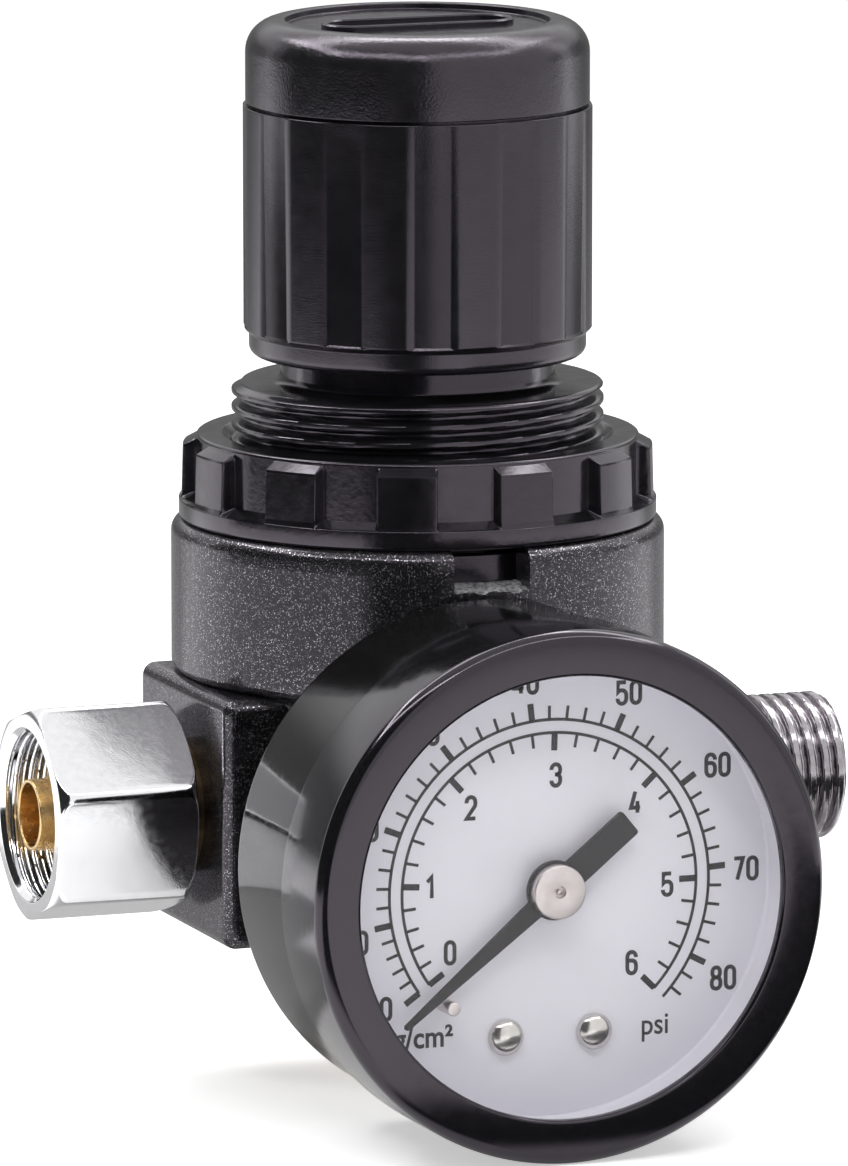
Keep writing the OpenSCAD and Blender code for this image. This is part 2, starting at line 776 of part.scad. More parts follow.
module adjusting_screw()
    color([0.7, 0.7, 0.72])
    union() {
        rod(screw_r, screw_end_z, flange_z);
        rod(flange_r, flange_z, flange_z + flange_t);
        rod(journal_r, flange_z + flange_t, journal_top_z);
        hex_rod(drive_flats, journal_top_z, drive_top_z);
    }

module thrust_washer()
    color([0.9, 0.9, 0.85])
    washer(flange_r, journal_r + slip, flange_z + flange_t, roof_z - thrust_play);

module flute_cutter()
    translate([skirt_r - flute_depth + flute_cut_r, 0, 0]) {
        rod(flute_cut_r, collar_top_z + flute_depth, seam_z + seam_gap / 2);
        translate([0, 0, collar_top_z])
            cylinder(r1 = flute_cut_r - flute_depth, r2 = flute_cut_r, h = flute_depth);
    }

module pill(l, w, from, to)
    translate([0, 0, from]) linear_extrude(to - from) {
        square([l - w, w], center = true);
        for (x = [-1, 1]) translate([x * (l - w) / 2, 0]) circle(w / 2);
    }

module knob()
    color([0.04, 0.04, 0.04])
    union() {
        difference() {
            rotate_extrude() polygon(concat(
                [[0, knob_z], [collar_r - collar_edge, knob_z], [collar_r, knob_z + collar_edge],
                    [collar_r, collar_top_z + lobe_edge + collar_r - skirt_r],
                    [skirt_r, collar_top_z + lobe_edge], [skirt_r, seam_z], [seam_r, seam_z],
                    [seam_r, seam_z + seam_gap], [cap_r, seam_z + seam_gap]],
                arc([cap_r - cap_round, knob_top_z - cap_round], cap_round, 0, 90, 7),
                [[0, knob_top_z]]));
            ring_of(flute_count, 180 / flute_count) flute_cutter();
            rod(knob_bore_r, knob_z - through, knob_roof_z);
            rod(recess_r, knob_top_z - recess_depth, knob_top_z + through);
        }
        difference() {
            rod(hub_outer_r, hub_bottom_z, knob_roof_z + hub_root);
            hex_rod(drive_flats + 2 * slip, hub_bottom_z - through, socket_top_z);
        }
        washer(knob_bore_r + tooth_root, bead_r, bead_z, bead_z + bead_h);
        ring_of(lock_teeth, 180 / lock_teeth)
            wedge(knob_tooth_r, knob_bore_r + tooth_root, tooth_angle, knob_teeth_z, knob_teeth_z + tooth_h);
        translate([0, 0, knob_top_z - recess_depth])
            difference() {
                pill(pill_l, pill_w, -pill_root, recess_depth - pill_drop);
                pill(pill_l - 2 * pill_rib, pill_w - 2 * pill_rib, -through, recess_depth + through);
            }
    }

module valve_pin()
    color([0.8, 0.62, 0.3])
    rod(valve_pin_r, seal_z, relief_z);

module valve_poppet()
    color([0.8, 0.62, 0.3])
    union() {
        rod(poppet_r, poppet_z, seal_z);
        rod(poppet_neck_r, poppet_z - poppet_neck_l, poppet_z);
        rod(stem_r, plug_bottom + plug_floor_t + valve_travel + 2 * run, poppet_z);
    }

module poppet_seal()
    color([0.08, 0.08, 0.08])
    washer(poppet_r - 2 * run, valve_pin_r + slip, seal_z, seat_z);

module gauge_socket()
    color([0.8, 0.62, 0.3])
    gauge_frame()
    difference() {
        union() {
            rod(port_r, stem_tip, boss_front);
            hex_rod(stem_flats, boss_front, case_back);
            rod(port_r, case_back, case_floor);
            translate([-socket_half_w, socket_foot, case_floor])
                cube([2 * socket_half_w, socket_top - socket_foot, socket_front - case_floor]);
        }
        rod(sense_r, stem_tip - through, tube_mid);
        translate([0, 0, tube_mid]) rotate([90, 0, 0]) rod(duct_r, 0, duct_reach);
        translate([0, -duct_reach, tube_mid]) rotate([0, -90, 0]) rod(duct_r, 0, socket_half_w);
        tube_sweep(tube_start - tube_seat_angle, tube_start, slip, 0);
        for (p = case_screw_places) translate(p)
            rod(case_screw_r + slip, case_back, case_back + case_screw_l + screw_slot);
    }

module gauge_case()
    color([0.03, 0.03, 0.03])
    gauge_frame()
    difference() {
        rotate_extrude() polygon(concat(
            [[0, case_back]], arc([case_r - case_edge, case_back + case_edge], case_edge, -90, 0, 4),
            [[case_r, case_front], [case_r - case_wall, case_front], [case_r - case_wall, case_floor],
                [0, case_floor]]));
        rod(port_r + slip, case_back - through, case_floor + through);
        for (p = case_screw_places) translate(p)
            rod(case_screw_r + slip, case_back - through, case_floor + through);
    }

module case_screws()
    color([0.75, 0.75, 0.75])
    gauge_frame()
    for (p = case_screw_places) translate(p) {
        rod(case_screw_r, case_back, case_back + case_screw_l);
        difference() {
            rod(screw_head_r, case_back - screw_head_t, case_back);
            translate([0, 0, case_back - screw_head_t])
                cube([2 * screw_head_r + through, screw_slot, 2 * screw_slot], center = true);
        }
    }

module gauge_bezel()
    color([0.05, 0.05, 0.05])
    gauge_frame()
    rotate_extrude() polygon(concat(
        [[bezel_inner_r, bezel_back], [bezel_r - bezel_edge, bezel_back], [bezel_r, bezel_back + bezel_edge]],
        arc([bezel_r - bezel_round, bezel_front - bezel_round], bezel_round, 0, 90, 5),
        [[aperture_r + bezel_edge, bezel_front], [aperture_r, bezel_front - bezel_edge],
            [aperture_r, lens_front], [bezel_inner_r, lens_front]]));

module gauge_lens()
    color([0.8, 0.9, 0.95, 0.3])
    gauge_frame() rod(lens_r, lens_back, lens_front);

module lens_gasket()
    color([0.02, 0.02, 0.02])
    gauge_frame() washer(lens_r, gasket_inner_r, case_front, lens_back);

module gauge_dial()
    color([0.95, 0.95, 0.96])
    gauge_frame()
    difference() {
        rod(dial_r, dial_back, dial_front);
        rod(2 * arbor_r, dial_back - through, dial_front + through);
        for (p = dial_screw_places) translate(p)
            rod(dial_screw_r + slip, dial_back - through, dial_front + through);
        rotate(90 - stop_angle) translate([stop_reach, 0, 0])
            rod(stop_pin_r, dial_back - through, dial_front + through);
    }

module dial_screws()
    color([0.75, 0.75, 0.75])
    gauge_frame()
    for (p = dial_screw_places) translate(p) {
        rod(dial_screw_r, dial_back - dial_screw_l, dial_front);
        translate([0, 0, dial_front]) rotate_extrude() polygon(concat([[0, 0], [dial_dome_r, 0]],
            [for (a = [0 : 18 : 90]) [dial_dome_r * cos(a), dial_dome_base + dial_dome_h * sin(a)]]));
    }

module dial_posts()
    color([0.8, 0.62, 0.3])
    gauge_frame()
    for (p = dial_screw_places) translate(p)
        washer(dial_dome_r, dial_screw_r + slip, front_plate + plate_thick, dial_back);

module stop_pin()
    color([0.75, 0.75, 0.75])
    gauge_frame()
    rotate(90 - stop_angle) translate([stop_reach, 0, 0]) rod(stop_pin_r, dial_back, dial_front + stop_pin_h);

module pointer()
    color([0.2, 0.2, 0.22])
    gauge_frame()
    rotate(90 - pointer_rest)
    difference() {
        translate([0, 0, pointer_back]) linear_extrude(pointer_t) {
            polygon([[0, -pointer_root_w / 2], [pointer_l, -pointer_tip_w / 2], [pointer_l + pointer_point, 0],
                [pointer_l, pointer_tip_w / 2], [0, pointer_root_w / 2]]);
            translate([-tail_l, -tail_w / 2]) square([tail_l, tail_w]);
            circle(pointer_base_r);
        }
        rod(arbor_r, pointer_back - through, pointer_back + pointer_t + through);
    }

module pointer_hub()
    color([0.75, 0.75, 0.75])
    gauge_frame()
    difference() {
        rod(hub_cap_r, hub_cap_back, hub_cap_front);
        rod(dimple_r, hub_cap_front - dimple_depth, hub_cap_front + through);
    }

module pinion_arbor()
    color([0.8, 0.62, 0.3])
    gauge_frame()
    union() {
        rod(arbor_r, arbor_end, hub_cap_back);
        translate([0, 0, gear_z - pinion_over]) linear_extrude(gear_t + 2 * pinion_over)
            polygon([for (i = [0 : pinion_teeth - 1]) for (p = tooth_points(pinion_teeth, pinion_pitch_r))
                spin2(p, 270 + pointer_sweep / 2 + i * 360 / pinion_teeth)]);
        rod(collet_r, hair_z - collet_over, hair_z + hair_w + collet_over);
    }

module hairspring()
    color([0.6, 0.55, 0.4])
    gauge_frame()
    translate([0, 0, hair_z]) linear_extrude(hair_w) {
        steps = hair_turns * 20;
        middle = [for (i = [0 : steps]) hair_start_r + (hair_end_r - hair_start_r) * i / steps];
        polygon(concat(
            [for (i = [0 : steps]) (middle[i] + hair_wire / 2) * [cos(18 * i), sin(18 * i)]],
            [for (i = [steps : -1 : 0]) (middle[i] - hair_wire / 2) * [cos(18 * i), sin(18 * i)]]));
    }

// drawn with the middle of its teeth straight up, then turned back by half its sweep
module sector_gear()
    color([0.8, 0.62, 0.3])
    gauge_frame()
    translate([0, -sector_drop, gear_z])
    difference() {
        linear_extrude(gear_t) {
            reach = floor(sector_half / 360 * sector_teeth);
            tooth = tooth_points(sector_teeth, sector_pitch_r);
            rotate(-sector_sweep / 2) {
                polygon(concat([[0, 0]], [for (i = [-reach : reach]) for (p = tooth)
                    spin2(p, 90 + (i + 0.5) * 360 / sector_teeth)]));
                rotate(arm_middle) translate([0, -arm_w / 2]) square([arm_reach + arm_end, arm_w]);
            }
            circle(sector_hub_r);
        }
        rod(arbor_r, -through, gear_t + through);
        rotate(arm_rest) translate([arm_reach - slip, 0, -through]) linear_extrude(gear_t + 2 * through) {
            square([arm_slot, 2 * (link_pin_r + run)], center = true);
            for (x = [-1, 1]) translate([x * arm_slot / 2, 0]) circle(link_pin_r + run);
        }
        for (a = [-1, 1]) rotate(90 - sector_sweep / 2 + a * sector_hole_angle)
            translate([sector_hole_reach, 0, 0]) rod(sector_hole_r, -through, gear_t + through);
    }

module sector_arbor()
    color([0.7, 0.7, 0.7])
    gauge_frame() translate([0, -sector_drop, 0]) rod(arbor_r, arbor_end, front_plate + plate_thick);

module movement_plate(from)
    translate([0, 0, from]) linear_extrude(plate_thick)
        difference() {
            translate([0, (plate_top + plate_foot) / 2])
                rounded_square(plate_w, plate_top - plate_foot, plate_corner);
            circle(arbor_hole_r);
            translate([0, -sector_drop]) circle(arbor_hole_r);
        }

module movement_plate_front() color([0.8, 0.62, 0.3]) gauge_frame() movement_plate(front_plate);

module movement_plate_rear() color([0.8, 0.62, 0.3]) gauge_frame() movement_plate(rear_plate);

module movement_pillars()
    color([0.7, 0.7, 0.7])
    gauge_frame() for (p = pillar_places) translate(p) rod(pillar_r, rear_plate + plate_thick, front_plate);

// part of a ring with the flattened section of the Bourdon tube, grown by a margin
module tube_sweep(from, to, grow, hollow)
    rotate(from) rotate_extrude(angle = to - from) translate([tube_r, tube_mid])
        difference() {
            rounded_square(tube_thick + 2 * grow, tube_w + 2 * grow, tube_thick / 2 - tube_corner);
            if (hollow > 0)
                rounded_square(tube_thick - 2 * hollow, tube_w - 2 * hollow,
                    tube_thick / 2 - hollow - tube_corner);
        }

module bourdon_tube()
    color([0.8, 0.62, 0.3])
    gauge_frame() tube_sweep(tube_end, tube_start - 1, 0, tube_wall);

module tube_tip()
    color([0.8, 0.62, 0.3])
    gauge_frame()
    union() {
        tube_sweep(tube_end - tip_angle, tube_end, tip_grow, 0);
        translate(tip_pin) rod(tip_pin_r, tube_mid, link_z + link_t);
    }

module tip_link()
    color([0.75, 0.75, 0.75])
    gauge_frame()
    union() {
        translate([0, 0, link_z])
        difference() {
            linear_extrude(link_t) {
                translate(arm_pin) rotate(link_angle) translate([0, -link_w / 2]) square([link_l, link_w]);
                translate(arm_pin) circle(link_eye_r);
                translate(tip_pin) circle(link_eye_r);
            }
            translate(tip_pin) rod(tip_pin_r, -through, link_t + through);
        }
        translate(arm_pin) rod(link_pin_r, link_z, gear_z + gear_t + 2 * run);
    }

part_frame() {
    body();
    bonnet();
    ring_nut();
    bottom_plug();
    plug_o_ring();
    inlet_nipple();
    inlet_washer();
    outlet_nipple();
    outlet_washer();
    swivel_nut();
    diaphragm();
    diaphragm_plate();
    relief_disc();
    main_spring();
    valve_spring();
    spring_nut();
    adjusting_screw();
    thrust_washer();
    knob();
    valve_pin();
    valve_poppet();
    poppet_seal();
    gauge_socket();
    gauge_case();
    case_screws();
    gauge_bezel();
    gauge_lens();
    lens_gasket();
    gauge_dial();
    dial_screws();
    dial_posts();
    stop_pin();
    pointer();
    pointer_hub();
    pinion_arbor();
    hairspring();
    sector_gear();
    sector_arbor();
    movement_plate_front();
    movement_plate_rear();
    movement_pillars();
    bourdon_tube();
    tube_tip();
    tip_link();
}
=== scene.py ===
# Looks of the air pressure regulator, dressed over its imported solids.
# Pieces are drawn in millimetres round their own axis, then placed in metres in the solids' frame.
import math

import bmesh
import bpy
import numpy as np
from mathutils import Matrix, Vector


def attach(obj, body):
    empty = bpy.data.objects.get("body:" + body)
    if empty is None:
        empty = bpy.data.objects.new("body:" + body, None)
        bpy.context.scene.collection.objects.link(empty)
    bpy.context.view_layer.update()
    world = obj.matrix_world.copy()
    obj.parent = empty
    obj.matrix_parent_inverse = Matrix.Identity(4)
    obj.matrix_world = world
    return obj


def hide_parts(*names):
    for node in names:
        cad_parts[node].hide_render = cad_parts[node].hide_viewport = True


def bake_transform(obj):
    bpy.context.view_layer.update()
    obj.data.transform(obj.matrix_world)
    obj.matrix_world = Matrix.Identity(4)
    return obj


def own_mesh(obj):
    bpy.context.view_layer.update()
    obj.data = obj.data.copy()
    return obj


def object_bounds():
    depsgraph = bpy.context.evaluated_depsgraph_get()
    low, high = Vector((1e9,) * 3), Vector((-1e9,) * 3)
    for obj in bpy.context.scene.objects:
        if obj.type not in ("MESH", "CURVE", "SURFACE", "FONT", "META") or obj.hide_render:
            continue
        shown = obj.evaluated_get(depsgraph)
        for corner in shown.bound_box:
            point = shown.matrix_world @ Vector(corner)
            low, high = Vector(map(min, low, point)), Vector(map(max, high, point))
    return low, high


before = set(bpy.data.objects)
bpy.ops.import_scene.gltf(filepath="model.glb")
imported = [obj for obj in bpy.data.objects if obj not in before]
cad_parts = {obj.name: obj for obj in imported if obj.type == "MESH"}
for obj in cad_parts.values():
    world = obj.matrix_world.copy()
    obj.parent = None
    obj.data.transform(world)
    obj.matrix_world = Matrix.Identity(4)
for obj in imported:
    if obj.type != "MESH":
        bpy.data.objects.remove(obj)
cad_low, cad_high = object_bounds()

MM = 0.001
SHOULDER_X = 27.5
GAUGE_X = -2.6
GAUGE_Z = -1.5
FULL_TURN = 2 * math.pi


def placed(shift, turn=Matrix.Identity(4)):
    """The matrix from a piece's own millimetres to metres in the solids' frame."""
    return Matrix.Scale(MM, 4) @ Matrix.Translation(shift) @ turn


KNOB_AXIS = (-SHOULDER_X, 0, 0)
UPRIGHT = placed(KNOB_AXIS)
INLET = placed(KNOB_AXIS, Matrix.Rotation(math.radians(90), 4, "Y"))
OUTLET = placed(KNOB_AXIS, Matrix.Rotation(math.radians(-90), 4, "Y"))
GAUGE = placed((GAUGE_X - SHOULDER_X, 0, GAUGE_Z), Matrix.Rotation(math.radians(90), 4, "X"))

# Camera: long lens, from the left and a little above

CAMERA_YAW = math.radians(20)
CAMERA_RISE = math.radians(10.25)
CAMERA_DISTANCE = 1.2
CAMERA_LENS = 418.66
CAMERA_BACK = Vector((
    -math.sin(CAMERA_YAW) * math.cos(CAMERA_RISE),
    -math.cos(CAMERA_YAW) * math.cos(CAMERA_RISE),
    math.sin(CAMERA_RISE),
))
CAMERA_RIGHT = Vector((math.cos(CAMERA_YAW), -math.sin(CAMERA_YAW), 0))
CAMERA_FRONT = Vector((-math.sin(CAMERA_YAW), -math.cos(CAMERA_YAW), 0))
CAMERA_UP = CAMERA_BACK.cross(CAMERA_RIGHT)
AIM_RIGHT = 0.00057
AIM_UP = 0.0183
OBJECT_MIDDLE = Vector((-SHOULDER_X * MM, 0, 0))


def make_camera():
    lens = bpy.data.cameras.new("camera")
    lens.sensor_fit = "VERTICAL"
    lens.sensor_height = 36
    lens.lens = CAMERA_LENS
    lens.clip_start = 0.1
    lens.clip_end = 10
    camera = bpy.data.objects.new("camera", lens)
    bpy.context.scene.collection.objects.link(camera)
    spot = OBJECT_MIDDLE + CAMERA_DISTANCE * CAMERA_BACK
    aim = OBJECT_MIDDLE + AIM_RIGHT * CAMERA_RIGHT + AIM_UP * CAMERA_UP
    camera.location = spot
    camera.rotation_euler = (aim - spot).to_track_quat("-Z", "Y").to_euler()
    bpy.context.scene.camera = camera


make_camera()

# Shape tools


def soft_max(a, b, width):
    """The larger of two surfaces, with a fillet where they cross."""
    share = np.clip(0.5 + 0.5 * (a - b) / width, 0, 1)
    return b + (a - b) * share + width * share * (1 - share)


def soft_min(a, b, width):
    return -soft_max(-a, -b, width)


def ease(value, low, high):
    """A smooth step from 0 at low to 1 at high."""
    t = np.clip((value - low) / (high - low), 0, 1)
    return t * t * (3 - 2 * t)


def outline(corners, closed=True, steps=6):
    """Points of an outline through (r, z, fillet) corners, each rounded by its fillet."""
    points = []
    count = len(corners)
    for i, corner in enumerate(corners):
        here = np.array(corner[:2], float)
        fillet = corner[2] if len(corner) > 2 else 0
        open_end = not closed and i in (0, count - 1)
        if fillet == 0 or open_end:
            points.append(here)
            continue
        before = np.array(corners[i - 1][:2], float) - here
        after = np.array(corners[(i + 1) % count][:2], float) - here
        before /= np.linalg.norm(before)
        after /= np.linalg.norm(after)
        half = math.acos(np.clip(before @ after, -1, 1)) / 2
        bisector = (before + after) / np.linalg.norm(before + after)
        middle = here + bisector * fillet / math.sin(half)
        first = here + before * fillet / math.tan(half) - middle
        last = here + after * fillet / math.tan(half) - middle
        spread = math.pi - 2 * half
        for k in range(steps + 1):
            t = k / steps
            weights = math.sin((1 - t) * spread), math.sin(t * spread)
            points.append(middle + (first * weights[0] + last * weights[1]) / math.sin(spread))
    return np.array(points)


def refined(points, step, low=-1000, high=1000, closed=True):
    """The same outline, with points no further apart than step between two heights."""
    found = []
    count = len(points)
    for i in range(count if closed else count - 1):
        a = points[i]
        b = points[(i + 1) % count]
        inside = min(a[1], b[1]) >= low - 1e-6 and max(a[1], b[1]) <= high + 1e-6
        parts = max(1, math.ceil(np.linalg.norm(b - a) / step - 1e-6)) if inside else 1
        found += [a + (b - a) * k / parts for k in range(parts)]
    if not closed:
        found.append(points[-1])
    return np.array(found)


def even_angles(count):
    return np.arange(count) * FULL_TURN / count


def stepped_angles(period, edges, spread, coarse, fine):
    """Angles round a full turn, closer together near the edges that repeat in each period, in degrees."""
    spots = list(np.arange(-period / 2, period / 2, coarse))
    for edge in edges:
        spots += list(np.arange(edge - spread, edge + spread + fine / 2, fine))
    spots = np.unique(np.round(np.mod(np.array(spots) + period / 2, period), 4))
    keep = np.concatenate([[True], np.diff(spots) > fine / 3])
    spots = spots[keep] - period / 2
    turns = round(360 / period)
    return np.radians(np.concatenate([spots + k * period for k in range(turns)]))


def from_centre(turn, period, first):
    """Degrees from the nearest of the centres that repeat in each period."""
    return np.mod(np.degrees(turn) - first + period / 2, period) - period / 2


def quads(rows, columns, close_rows, close_columns):
    """Faces between the corners of a grid, which may close on itself either way."""
    faces = []
    for i in range(rows if close_rows else rows - 1):
        low = i * columns
        high = (i + 1) % rows * columns
        for j in range(columns if close_columns else columns - 1):
            k = (j + 1) % columns
            faces.append((low + j, low + k, high + k, high + j))
    return faces


def woven(r, z, angles, closed):
    """Corners and faces of a grid of radii and heights, wrapped round the axis."""
    corners = np.stack([r * np.cos(angles), r * np.sin(angles), z], axis=2)
    return corners.reshape(-1, 3), quads(*r.shape, closed, True)


def turned(points, angles, shape=None, closed=True):
    """An outline turned round the axis. A shape function may change its radii."""
    r = np.repeat(points[:, 0:1], len(angles), axis=1)
    z = np.repeat(points[:, 1:2], len(angles), axis=1)
    if shape is not None:
        r = shape(r, np.repeat(angles[None, :], len(points), axis=0), z)
    return woven(r, z, angles, closed)


def plate(points, low, high):
    """A flat outline made solid between two heights."""
    count = len(points)
    corners = [(x, y, z) for z in (low, high) for x, y in points]
    faces = [tuple(range(count)), tuple(range(count, 2 * count))]
    return np.array(corners, float), faces + quads(2, count, False, True)


def moved(form, x=0, y=0, z=0):
    return form[0] + np.array([x, y, z], float), form[1]


def joined(forms):
    corners = []
    faces = []
    count = 0
    for form_corners, form_faces in forms:
        corners.append(form_corners)
        faces += [tuple(i + count for i in face) for face in form_faces]
        count += len(form_corners)
    return np.concatenate(corners), faces


def mesh_of(name, forms, place):
    """A closed mesh of the forms, with its faces outward."""
    corners, faces = joined(forms)
    mesh = bpy.data.meshes.new(name)
    mesh.from_pydata(corners.tolist(), [], faces)
    mesh.transform(place)
    work = bmesh.new()
    work.from_mesh(mesh)
    bmesh.ops.remove_doubles(work, verts=work.verts, dist=1e-8)
    bmesh.ops.recalc_face_normals(work, faces=work.faces)
    work.to_mesh(mesh)
    work.free()
    return mesh


def show(name, mesh, finish, body, nodes=(), sharp=35):
    """Puts a mesh in the scene as a piece that rides on a body and stands for CAD nodes."""
    mesh.shade_smooth()
    mesh.set_sharp_from_angle(angle=math.radians(sharp))
    if not mesh.materials:
        mesh.materials.append(finish)
    piece = bpy.data.objects.new(name, mesh)
    bpy.context.scene.collection.objects.link(piece)
    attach(piece, body)
    if nodes:
        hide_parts(*nodes)
    return piece


def make(name, forms, place, finish, body, nodes=(), sharp=35):
    return show(name, mesh_of(name, forms, place), finish, body, nodes, sharp)


def soften(piece, width):
    """Rounds the sharp edges of a piece a little."""
    edge = piece.modifiers.new("edge", "BEVEL")
    edge.width = width * MM
    edge.segments = 2
    edge.limit_method = "ANGLE"


def hexagon(turn, flats, face_angle, edge=0.12):
    """Radius of a hexagon with a little rounding on its corners; one face looks along face_angle."""
    aside = np.radians(from_centre(turn, 60, face_angle))
    r = flats / 2 / np.cos(aside)
    corner_r = flats / math.sqrt(3)
    return soft_min(r, corner_r - edge + 0 * r, edge)


def thread_depth(turn, z, pitch, depth, crest=0.2, root=0.12):
    """How far a screw thread is cut in at each point, with rounded crests and roots."""
    along = np.abs(2 * np.mod(z / pitch - turn / FULL_TURN, 1) - 1)
    return depth * ease(along, crest, 1 - root)


# Finishes: every colour, roughness and bump comes from nodes in the piece's own coordinates


class Nodes:
    """Short ways to add nodes to a material or a world, and to link them."""

    def __init__(self, tree):
        self.nodes = tree.nodes
        self.links = tree.links

    def put(self, socket, value):
        """Links a socket to another one, or sets its value."""
        if isinstance(value, bpy.types.NodeSocket):
            self.links.new(value, socket)
        else:
            socket.default_value = value

    def feed(self, node, **inputs):
        for name, value in inputs.items():
            self.put(node.inputs[name.replace("_", " ")], value)
        return node

    def add(self, kind, **inputs):
        return self.feed(self.nodes.new(kind), **inputs)

    def work(self, kind, operation, a, b):
        """A node that works out one value or vector from two."""
        node = self.nodes.new(kind)
        node.operation = operation
        self.put(node.inputs[0], a)
        self.put(node.inputs[1], b)
        return node.outputs

    def calc(self, operation, a, b=0.0):
        return self.work("ShaderNodeMath", operation, a, b)["Value"]


class Finish(Nodes):
    """A principled material with the textures that feed it."""

    def __init__(self, name, **sockets):
        self.material = bpy.data.materials.new(name)
        self.material.use_nodes = True
        super().__init__(self.material.node_tree)
        self.shader = self.feed(self.nodes["Principled BSDF"], **sockets)
        self.spot = self.nodes.new("ShaderNodeTexCoord").outputs["Object"]

    def noise(self, size, detail=3):
        """Noise whose blotches are about size millimetres wide."""
        texture = self.add("ShaderNodeTexNoise", Vector=self.spot, Scale=1 / (size * MM), Detail=detail)
        return texture.outputs["Fac"]

    def cells(self, size):
        """Cells about size millimetres wide: distance from the middle, and a colour for each cell."""
        texture = self.add("ShaderNodeTexVoronoi", Vector=self.spot, Scale=1 / (size * MM))
        return texture.outputs["Distance"], texture.outputs["Color"]

    def ramp(self, source, low, high, start, end):
        """Maps a value between low and high to values or colours between start and end."""
        node = self.add("ShaderNodeValToRGB", Fac=source)
        for stop, position, value in zip(node.color_ramp.elements, (low, high), (start, end)):
            stop.position = position
            stop.color = (*value, 1) if isinstance(value, tuple) else (value, value, value, 1)
        return node.outputs["Color"]

    def cloud(self, size, detail, ends):
        """Values or colours that drift between two ends in blotches about size millimetres wide."""
        return self.ramp(self.noise(size, detail), 0.3, 0.7, *ends)

    def mix(self, share, a, b):
        """Mixes two colours."""
        node = self.nodes.new("ShaderNodeMix")
        node.data_type = "RGBA"
        self.put(node.inputs["Factor"], share)
        self.put(node.inputs[6], a)
        self.put(node.inputs[7], b)
        return node.outputs[2]

    def dress(self, colour, roughness, *bumps, **sockets):
        """Feeds the shader, and raises the surface by (height, millimetres) bumps, one on another."""
        self.feed(self.shader, Base_Color=colour, Roughness=roughness, **sockets)
        normal = None
        for height, reach in bumps:
            node = self.add("ShaderNodeBump", Strength=1, Distance=reach * MM, Height=height)
            if normal is not None:
                self.put(node.inputs["Normal"], normal)
            normal = node.outputs["Normal"]
        if normal is not None:
            self.feed(self.shader, Normal=normal)
        return self.material


PURPLE_CAST = (0.95, 0.84, 1.0, 1.0)
INK = ((0.004, 0.004, 0.0045), (0.008, 0.008, 0.009))
FLECK_CELL = 0.09
BARE_SHARE = 0.66
# How strongly the painted glint varies from fleck to fleck
PAINTED_GLINT_CONTRAST = 2.4


def black_finish(name, sheen, **sockets):
    """A black finish whose reflections have a purple cast."""
    return Finish(name, Specular_Tint=PURPLE_CAST, Specular_IOR_Level=sheen, **sockets)


def flecked_paint():
    """Gloss black with fine silver flecks under a clear coat; the flecks' uneven brightness is painted glint.
    """
    finish = black_finish("flecked_paint", 0.45, Coat_Weight=0.2, Coat_Roughness=0.04)
    distance, colour = finish.cells(FLECK_CELL)
    split = finish.add("ShaderNodeSeparateColor", Color=colour).outputs
    chosen = finish.calc("GREATER_THAN", split["Red"], BARE_SHARE)
    near = finish.calc("LESS_THAN", distance, 0.5)
    fleck = finish.calc("MULTIPLY", chosen, near)
    # Painted glint: each fleck gets a random brightness in its colour, in place of flakes that catch the
    # light at different tilts
    painted_glint = finish.calc("POWER", split["Green"], PAINTED_GLINT_CONTRAST)
    silver = finish.ramp(painted_glint, 0.0, 1.0, (0.015, 0.015, 0.017), (0.70, 0.68, 0.72))
    return finish.dress(
        finish.mix(fleck, finish.cloud(1.6, 3, INK), silver), finish.cloud(0.5, 3, (0.18, 0.27)),
        (finish.noise(0.7), 0.010), (split["Blue"], 0.005), Metallic=finish.calc("MULTIPLY", fleck, 0.8))


def moulded_black(name, colours, rough, grain, reach):
    """Black moulded plastic with a fine grain and cloudy gloss."""
    finish = black_finish(name, 0.72)
    return finish.dress(
        finish.cloud(2.5, 3, colours), finish.cloud(1.1, 4, rough),
        (finish.noise(grain, 2), reach), (finish.noise(3.5, 2), reach * 2))


def gloss_enamel(name, colours, rough, peel, sheen):
    """Black stove enamel: gloss, with a little orange peel and dust."""
    finish = black_finish(name, sheen, Coat_Weight=0.08, Coat_Roughness=0.03)
    return finish.dress(
        finish.ramp(finish.noise(0.35, 5), 0.35, 0.75, *colours), finish.cloud(0.8, 4, rough),
        (finish.noise(1.1, 2), peel), (finish.noise(0.2, 2), peel / 6))


def plated(name, dark, light, rough, reach):
    """Bright metal with faint clouding and a fine grain."""
    finish = Finish(name, Metallic=1.0)
    return finish.dress(
        finish.cloud(0.9, 4, (dark, light)), finish.cloud(0.5, 4, rough),
        (finish.noise(0.14, 2), reach), (finish.noise(2.2, 2), reach * 3))


def soft_rubber():
    finish = Finish("rubber")
    return finish.dress(
        finish.cloud(0.6, 4, ((0.012, 0.012, 0.012), (0.03, 0.03, 0.03))), finish.cloud(0.4, 3, (0.6, 0.8)),
        (finish.noise(0.2), 0.01))


def clear_plastic():
    finish = Finish("clear_plastic", IOR=1.49, Alpha=0.025)
    tint = ((0.90, 0.89, 0.93), (0.95, 0.94, 0.97))
    return finish.dress(finish.cloud(6, 3, tint), finish.cloud(4, 3, (0.02, 0.05)))


def painted(name, dark, light, size, rough, reach):
    """Plain paint, print or moulding, clouded in blotches of one size."""
    finish = Finish(name)
    return finish.dress(
        finish.cloud(size, 4, (dark, light)), finish.cloud(size * 0.6, 4, rough),
        (finish.noise(size * 0.2, 2), reach))


